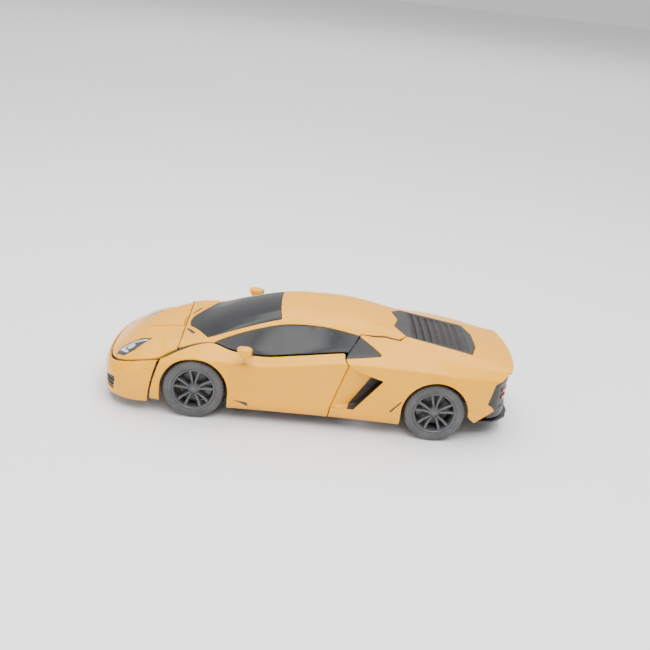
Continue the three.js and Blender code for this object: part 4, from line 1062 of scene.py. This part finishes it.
def build_tail():
    outline = loop(FASCIA.f, rectangle(-1.0, 1.0, 0.0, 1.0, 260, 44), 2.0, 0.6)
    data = shell(FASCIA, outline, np.linspace(-1, 1, 150), np.linspace(0, 1, 48), 1.9, 0.4, 0.1)
    mesh_object("tail_fascia", data, "trim_black", "legs", ["tail_fascia"])
    lamp = [(0.40, 0.52), (0.46, 0.49), (0.58, 0.57), (0.76, 0.53), (0.77, 0.60), (0.62, 0.645),
            (0.77, 0.70), (0.76, 0.77), (0.56, 0.71), (0.42, 0.71)]
    for side, sign in (("left", 1), ("right", -1)):
        points = dense([(sign * t, h) for t, h in lamp + lamp[:1]][::sign], 0.01)
        shape = loop(FASCIA.f, [points], 0.7)
        data = shell(FASCIA, shape, np.linspace(-1, 1, 160), np.linspace(0, 1, 60), 1.2, 0.35, 0.05, lift=1.0)
        mesh_object(f"tail_light_{side}", data, "lamp_red", "legs", [f"tail_light_{side}"])
    shape = loop(FASCIA.f, rectangle(-0.34, 0.34, 0.44, 0.76, 120, 30), 1.5, 0.6)
    data = shell(FASCIA, shape, np.linspace(-1, 1, 200), np.linspace(0, 1, 60), 0.8, 0.25, 0.05, lift=0.5)
    mesh_object("tail_mesh", data, "grille", "legs")


def turned_faces(segments, n):
    """Faces of a closed profile of n points turned all the way round."""
    return [(i * n + j, (i + 1) % segments * n + j, (i + 1) % segments * n + (j + 1) % n, i * n + (j + 1) % n)
            for i in range(segments) for j in range(n)]


def ring(profile, centre, axis, segments=48, squeeze=1.0):
    """Closed turned ring: profile of (radius, along) points about an axis through a centre."""
    angle = np.linspace(0, 2 * math.pi, segments, endpoint=False)
    profile = np.array(profile, float)
    a = Vector(axis).normalized()
    side = a.orthogonal().normalized()
    other = a.cross(side)
    a, side, other = (np.array(v) for v in (a, side, other))
    verts = []
    for t in angle:
        spoke = math.cos(t) * side + math.sin(t) * other * squeeze
        verts.append(np.array(centre) + profile[:, :1] * spoke + profile[:, 1:] * a)
    return np.vstack(verts), turned_faces(segments, len(profile))


def plain_object(name, parts, material, body, replaces=(), mirror=False, edge=0.0, angle=30, level=0):
    """Mesh from several closed parts, shaded smooth by its own face angles, with softened edges."""
    mesh = bpy.data.meshes.new(name)
    bm = bmesh.new()
    for verts, faces in parts:
        verts = np.array(verts, float) * ([1, -1, 1] if mirror else [1, 1, 1])
        made = [bm.verts.new(tuple(v * MM)) for v in verts]
        for f in faces:
            corners = [made[i] for i in f]
            if len(set(corners)) == len(corners) and len(corners) > 2:
                bm.faces.new(corners[::-1] if mirror else corners)
    bmesh.ops.remove_doubles(bm, verts=bm.verts, dist=1e-6)
    bmesh.ops.recalc_face_normals(bm, faces=bm.faces)
    for f in bm.faces:
        f.smooth = True
    for e in bm.edges:
        if len(e.link_faces) == 2 and e.calc_face_angle(0) > math.radians(angle):
            e.smooth = False
    bm.to_mesh(mesh)
    bm.free()
    obj = bpy.data.objects.new(name, mesh)
    bpy.context.scene.collection.objects.link(obj)
    mesh.materials.append(MAT[material])
    if level:
        soft = obj.modifiers.new("subdivision", "SUBSURF")
        soft.levels = soft.render_levels = level
    if edge:
        bevel = obj.modifiers.new("soft_edges", "BEVEL")
        bevel.width = edge * MM
        bevel.segments = 3
        bevel.limit_method = "ANGLE"
        bevel.angle_limit = math.radians(angle)
        bevel.harden_normals = True
    return finish_piece(obj, body, replaces)


def prism(outline, y0, y1):
    """Side view outline (x, z) standing from y0 to y1."""
    n = len(outline)
    verts = [(x, y0, z) for x, z in outline] + [(x, y1, z) for x, z in outline]
    faces = [tuple(range(n)), tuple(range(2 * n - 1, n - 1, -1))]
    faces += [(i, i + n, (i + 1) % n + n, (i + 1) % n) for i in range(n)]
    return verts, faces


def wall_faces(rows, n):
    """Faces between rows of n points that follow each other, each row closed on itself."""
    return [(i * n + j, i * n + (j + 1) % n, (i + 1) * n + (j + 1) % n, (i + 1) * n + j)
            for i in range(rows - 1) for j in range(n)]


def tube_faces(rows, n):
    """The same with both ends capped."""
    last = (rows - 1) * n
    return wall_faces(rows, n) + [tuple(range(n))[::-1], tuple(range(last, last + n))]


def bar(points, widths, depths, side):
    """Tapered bar along points; its section has rounded corners."""
    points = np.array(points, float)
    side = np.array(side, float)
    shape = [(0.5, 0.22), (0.5, -0.22), (0.34, -0.5), (-0.34, -0.5), (-0.5, -0.22), (-0.5, 0.22),
             (-0.34, 0.5), (0.34, 0.5)]
    verts = []
    for i, p in enumerate(points):
        along = points[min(i + 1, len(points) - 1)] - points[max(i - 1, 0)]
        along /= np.linalg.norm(along)
        up = np.cross(side, along)
        up /= np.linalg.norm(up)
        verts += [p + side * a * widths[i] + up * b * depths[i] for a, b in shape]
    return verts, tube_faces(len(points), len(shape))


# ---------------------------------------------------------------- wheels
def tyre_parts(width):
    """Tyre about the Y axis at the origin, outer side towards +Y, with tread grooves and side ribs."""
    h = width / 2
    base = [(17.1, -h + 1.6), (17.4, -h + 0.7), (18.2, -h + 0.25), (19.2, -h + 0.05), (19.6, -h + 0.25),
            (20.1, -h), (21.4, -h + 0.05), (21.7, -h + 0.3), (22.1, -h + 0.25), (23, -h + 0.55),
            (23.7, -h + 1.1), (24.15, -h + 1.8), (24.38, -h + 2.6)]
    n = 34
    tread = [(24.5, y) for y in np.linspace(-h + 3, h - 3, n)]
    profile = np.array(base + tread + [(r, -y) for r, y in base[::-1]])
    count = 300
    angle = np.linspace(0, 2 * math.pi, count, endpoint=False)
    r, y = np.meshgrid(profile[:, 0], angle)[0], np.tile(profile[:, 1], (count, 1))
    t = np.tile(angle[:, None], (1, len(profile)))
    on_tread = np.clip((r - 23.4) / 0.7, 0, 1)
    channel = np.maximum.reduce([np.clip(1 - np.abs(y - c) / 0.55, 0, 1) for c in (-h * 0.42, 0.0, h * 0.42)])
    phase = (t * 44 / (2 * math.pi) + np.abs(y) * 0.11) % 1
    sipe = np.clip(1 - np.abs(phase - 0.5) / 0.13, 0, 1) * (np.abs(y) > h * 0.5)
    phase = (t * 66 / (2 * math.pi) - np.abs(y) * 0.2) % 1
    fine = np.clip(1 - np.abs(phase - 0.5) / 0.1, 0, 1) * (np.abs(y) < h * 0.36)
    r = r - on_tread * np.maximum.reduce([0.75 * np.minimum(1, channel * 2), 0.7 * np.minimum(1, sipe * 2),
                                          0.4 * fine])
    verts = np.column_stack([(r * np.cos(t)).ravel(), y.ravel(), (r * np.sin(t)).ravel()])
    return verts, turned_faces(count, len(profile))


def rim_parts(width):
    h = width / 2
    parts = [ring([(17.05, h - 0.5), (17.3, h - 0.9), (17.3, h - 1.5), (16.95, h - 2), (16.7, -h + 3),
                   (17.0, -h + 1.6), (16.2, -h + 1.5), (15.7, -h + 3), (15.2, h - 3.4), (15.6, h - 1.4),
                   (16.1, h - 0.55), (16.6, h - 0.35)],
                  (0, 0, 0), (0, 1, 0), 96),
             ring([(0.001, h - 1.9), (1.6, h - 1.85), (2.1, h - 2.1), (2.3, h - 2.5), (3.9, h - 2.6),
                   (4.5, h - 3.1), (4.9, h - 4.6), (4.9, -h + 2.4), (2.45, -h + 2.2), (2.45, h - 5),
                   (0.001, h - 5)],
                  (0, 0, 0), (0, 1, 0), 48)]
    for k in range(5):
        centre = math.pi / 2 + k * 2 * math.pi / 5
        for sign in (-1, 1):
            a0, a1 = centre + sign * 0.22, centre + sign * 0.235
            stations = []
            for f in np.linspace(0, 1, 7):
                radius = 3.6 + 12.3 * f
                angle = a0 + (a1 - a0) * f
                depth = h - 3.0 - 1.3 * math.sin(math.pi * min(1, f * 1.15) * 0.9)
                stations.append((radius * math.cos(angle), depth, radius * math.sin(angle)))
            across = np.array((-math.sin(centre), 0, math.cos(centre)))
            parts.append(bar(stations, np.linspace(1.9, 2.7, 7), np.linspace(3.0, 2.4, 7), across))
        nut = centre + math.pi / 5
        parts.append(ring([(0.001, h - 2.35), (0.45, h - 2.35), (0.6, h - 2.5), (0.6, h - 4), (0.001, h - 4)],
                          (3.35 * math.cos(nut), 0, 3.35 * math.sin(nut)), (0, 1, 0), 12))
    return parts


def disc_parts(width):
    h = width / 2
    return [ring([(4.95, -1.2), (12.6, -1.2), (12.9, -0.9), (12.9, 0.9), (12.6, 1.2), (12.1, 1.25),
                  (11.9, 1.0), (7.2, 1.0), (7.0, 1.4), (4.95, 1.4)], (0, h * 0.1 - 1.4, 0), (0, 1, 0), 72)]


def moved(parts, place, turn):
    out = []
    for verts, faces in parts:
        verts = np.array(verts, float) * ([-1, -1, 1] if turn else [1, 1, 1])
        out.append((verts + np.array(place), faces))
    return out


def build_wheels():
    for axle, body in (("front", "front_wheel_{}"), ("rear", "rear_wheels")):
        width = WHEEL_WIDTH[axle]
        tyre, rim, disc = [tyre_parts(width)], rim_parts(width), disc_parts(width)
        for side, sign in (("left", 1), ("right", -1)):
            place = (WHEEL_X[axle], sign * WHEEL_Y[axle], AXLE_Z)
            where = body.format(side)
            turn = sign < 0
            plain_object(f"{axle}_tyre_{side}", moved(tyre, place, turn), "tyre_black", where,
                         [f"{axle}_tyre_{side}"], angle=60)
            plain_object(f"{axle}_rim_{side}", moved(rim, place, turn), "rim_grey", where,
                         [f"{axle}_rim_{side}"], angle=50)
            plain_object(f"{axle}_brake_disc_{side}", moved(disc, place, turn), "brake_iron", where, angle=35)


# ---------------------------------------------------------------- mirrors and hood hinges
def pod(centre, size, power, taper):
    """Rounded box with soft faces; it narrows towards its foot."""
    verts = []
    rows, columns = 20, 32
    for i in range(rows + 1):
        a = math.pi * (i / rows - 0.5)
        for j in range(columns):
            b = 2 * math.pi * j / columns
            c = [math.cos(a) * math.cos(b), math.cos(a) * math.sin(b), math.sin(a)]
            length = sum(abs(v) ** power for v in c) ** (1 / power)
            p = [v / length for v in c]
            squeeze = 1 - taper * (0.5 - p[2] / 2) ** 1.5
            x = p[0] * size[0] * squeeze + (0.14 * size[0] * p[2])
            verts.append((centre[0] + x, centre[1] + p[1] * size[1], centre[2] + p[2] * size[2]))
    return verts, wall_faces(rows + 1, columns)


def build_mirrors():
    for side, mirror in SIDES:
        body = f"arm_{side}"
        plain_object(f"mirror_{side}", [pod((52.6, 72.1, 62.3), (6.6, 4.9, 4.7), 3.2, 0.42)], "body_yellow",
                     body, [f"mirror_{side}"], mirror=mirror, angle=80)
        stem = bar([(52.5, 65.2, 54.3), (52.4, 67.6, 55.6), (52.3, 69.6, 57.4), (52.3, 70.6, 59.4)],
                   [4.6, 4.2, 4, 4], [2.4, 2.2, 2.2, 2.4], (1, 0, 0))
        plain_object(f"mirror_stem_{side}", [stem], "trim_black", body, mirror=mirror, angle=50, level=1)
        face = ring([(0.001, 0), (3.6, 0), (3.9, 0.3), (3.9, 0.8), (0.001, 0.8)], (45.9, 72.1, 62.9),
                    (1, 0, 0), 40, 0.86)
        plain_object(f"mirror_glass_{side}", [face], "smoked_glass", body, mirror=mirror, angle=30)


def bead(path, inward, down, radius):
    """Closed round cord that follows a seam on its inner side; the inside lies to the left of the path."""
    sides = 10
    path = np.asarray(path, float)
    along = np.gradient(path, axis=0)
    along /= np.linalg.norm(along, axis=1)[:, None]
    side = np.cross([0, 0, 1], along)
    side /= np.linalg.norm(side, axis=1)[:, None]
    up = np.cross(along, side)
    centre = path + inward * side - [0, 0, down]
    turn = np.arange(sides)[:, None] * math.tau / sides
    verts = centre[:, None] + radius * (np.cos(turn) * side[:, None] + np.sin(turn) * up[:, None])
    return verts.reshape(-1, 3), tube_faces(len(path), sides)


def build_seam_beads():
    """Near-black cords that close the seams round the hood's nose and under the rear deck: painted shade for
    those seams.
    """
    edge = np.vstack([edge_line(-1.0, 30, 1, NOSE_SEAM_SHADE_START, 1.0)[:-1], edge_line(1.0, 70, 0, -1.0, 1.0),
                      edge_line(1.0, 30, 1, 1.0, NOSE_SEAM_SHADE_START)[1:]])
    plain_object("nose_seam_shade", [bead(hood_surface(edge), 1.9, 1.9, 1.2)], "seam_shade_black", "chest")
    tail = across_surface(to_across(from_plan(smooth(TAIL_PLAN), 4.5)))
    tail = np.vstack([tail[::-1], tail[1:] * [1, -1, 1]])
    plain_object("deck_seam_shade", [bead(tail, 5.3, 3.0, 1.6)], "seam_shade_black", "legs")


def build_hood_hinges():
    arm = [(88.8, 47.6), (91, 45), (97, 39.4), (104, 36), (112, 36), (117.5, 44), (117.5, 50.6),
           (113, 51.2), (111, 46), (108.5, 41.5), (103, 40.3), (97, 45.5), (95.3, 49), (94, 52), (90, 52),
           (88.8, 50)]
    parts = [prism(arm, 34, 37), prism(arm, -37, -34)]
    plain_object("hood_hinges", parts, "frame_grey", "chest", edge=0.4)


# ---------------------------------------------------------------- small hardware
def arc_part(section, centre, low, high):
    """Section of (radius, along Y) points swept part of a turn about a wheel axis, in degrees."""
    rows = 14
    verts = []
    for angle in np.radians(np.linspace(low, high, rows)):
        verts += [(centre[0] + r * math.cos(angle), centre[1] + y, centre[2] + r * math.sin(angle))
                  for r, y in section]
    return verts, tube_faces(rows, len(section))


def build_calipers():
    for axle, shift, body, low in (("front", 0.3, "knuckle_{}", 150), ("rear", 0.6, "root", -22)):
        section = [(9.6, -3.2 + shift), (14.3, -3.2 + shift), (14.7, -2.7 + shift), (14.7, 1.9 + shift),
                   (14.3, 2.4 + shift), (9.6, 2.4 + shift), (9.6, 1.0 + shift), (13.3, 1.0 + shift),
                   (13.3, -2.5 + shift), (9.6, -2.5 + shift)]
        part = arc_part(section, (WHEEL_X[axle], WHEEL_Y[axle], AXLE_Z), low, low + 52)
        for side, mirror in SIDES:
            plain_object(f"{axle}_caliper_{side}", [part], "brake_iron", body.format(side), mirror=mirror,
                         edge=0.25)


def screw(place, r):
    """Domed screw head of radius r with a hollow for the driver, facing down."""
    return ring([(0.001, -0.1), (0.4 * r, 0.0), (0.45 * r, 0.34 * r), (0.62 * r, 0.44 * r),
                 (0.86 * r, 0.3 * r), (r, 0.05), (r, -0.7), (0.001, -0.7)], place, (0, 0, -1), 20)


def build_screws():
    cover = [screw((x, y, 6.75), 1.1) for x in (-43.2, 13.2) for y in (-19, 19)]
    plain_object("battery_cover_screws", cover, "steel", "torso", angle=40)
    tub = [screw((x, y, 8.95), 2.0) for x in (-54.5, 57) for y in (-41.5, 41.5)]
    plain_object("chassis_screws", tub, "steel", "torso", angle=40)
    drive = [screw((x, y, 8.95), 2.0) for x in (-123.5, -76.5) for y in (-29.5, 29.5)]
    plain_object("drive_screws", drive, "steel", "root", angle=40)


def build_outlet():
    """Six-sided exhaust surround in the middle of the tail."""
    corners = [(-10.5, 0), (-6.6, 3.5), (6.6, 3.5), (10.5, 0), (6.6, -3.5), (-6.6, -3.5)]
    rings = [(1.0, -162.6), (1.0, -165.2), (0.93, -165.6), (0.8, -165.4), (0.76, -164.2)]
    verts = [(x, y * k, 25.4 + z * k) for k, x in rings for y, z in corners]
    part = verts, tube_faces(len(rings), len(corners))
    plain_object("tail_outlet", [part], "brake_iron", "legs", angle=25)


for build in (build_hood, build_bumper, build_side_panels, build_rear_quarters, build_roof, build_windows,
              build_rear_covers, build_calipers, build_screws, build_outlet, build_scoops, build_tail,
              build_wheels, build_mirrors, build_hood_hinges, build_seam_beads):
    build()

# ---------------------------------------------------------------- floor
bpy.ops.mesh.primitive_plane_add(size=1)
floor = bpy.context.object
floor.name = "floor"
floor.scale = (24, 24, 1)
floor.data.materials.append(floor_material())

# ---------------------------------------------------------------- carried-over CAD nodes
def finish_nodes():
    slots = {part["node"]: part.get("material_slot") for part in frame["record"]["subparts"]}
    for node, obj in NODES.items():
        if obj.hide_render:
            continue
        material = MAT.get(slots.get(node) or "trim_black", MAT["trim_black"])
        if not obj.material_slots:
            obj.data.materials.append(material)
        for place in obj.material_slots:
            place.material = material
        edge = obj.modifiers.new("soft_edges", "BEVEL")
        edge.width = 0.35 * MM
        edge.segments = 2
        edge.limit_method = "ANGLE"
        edge.angle_limit = math.radians(38)


finish_nodes()
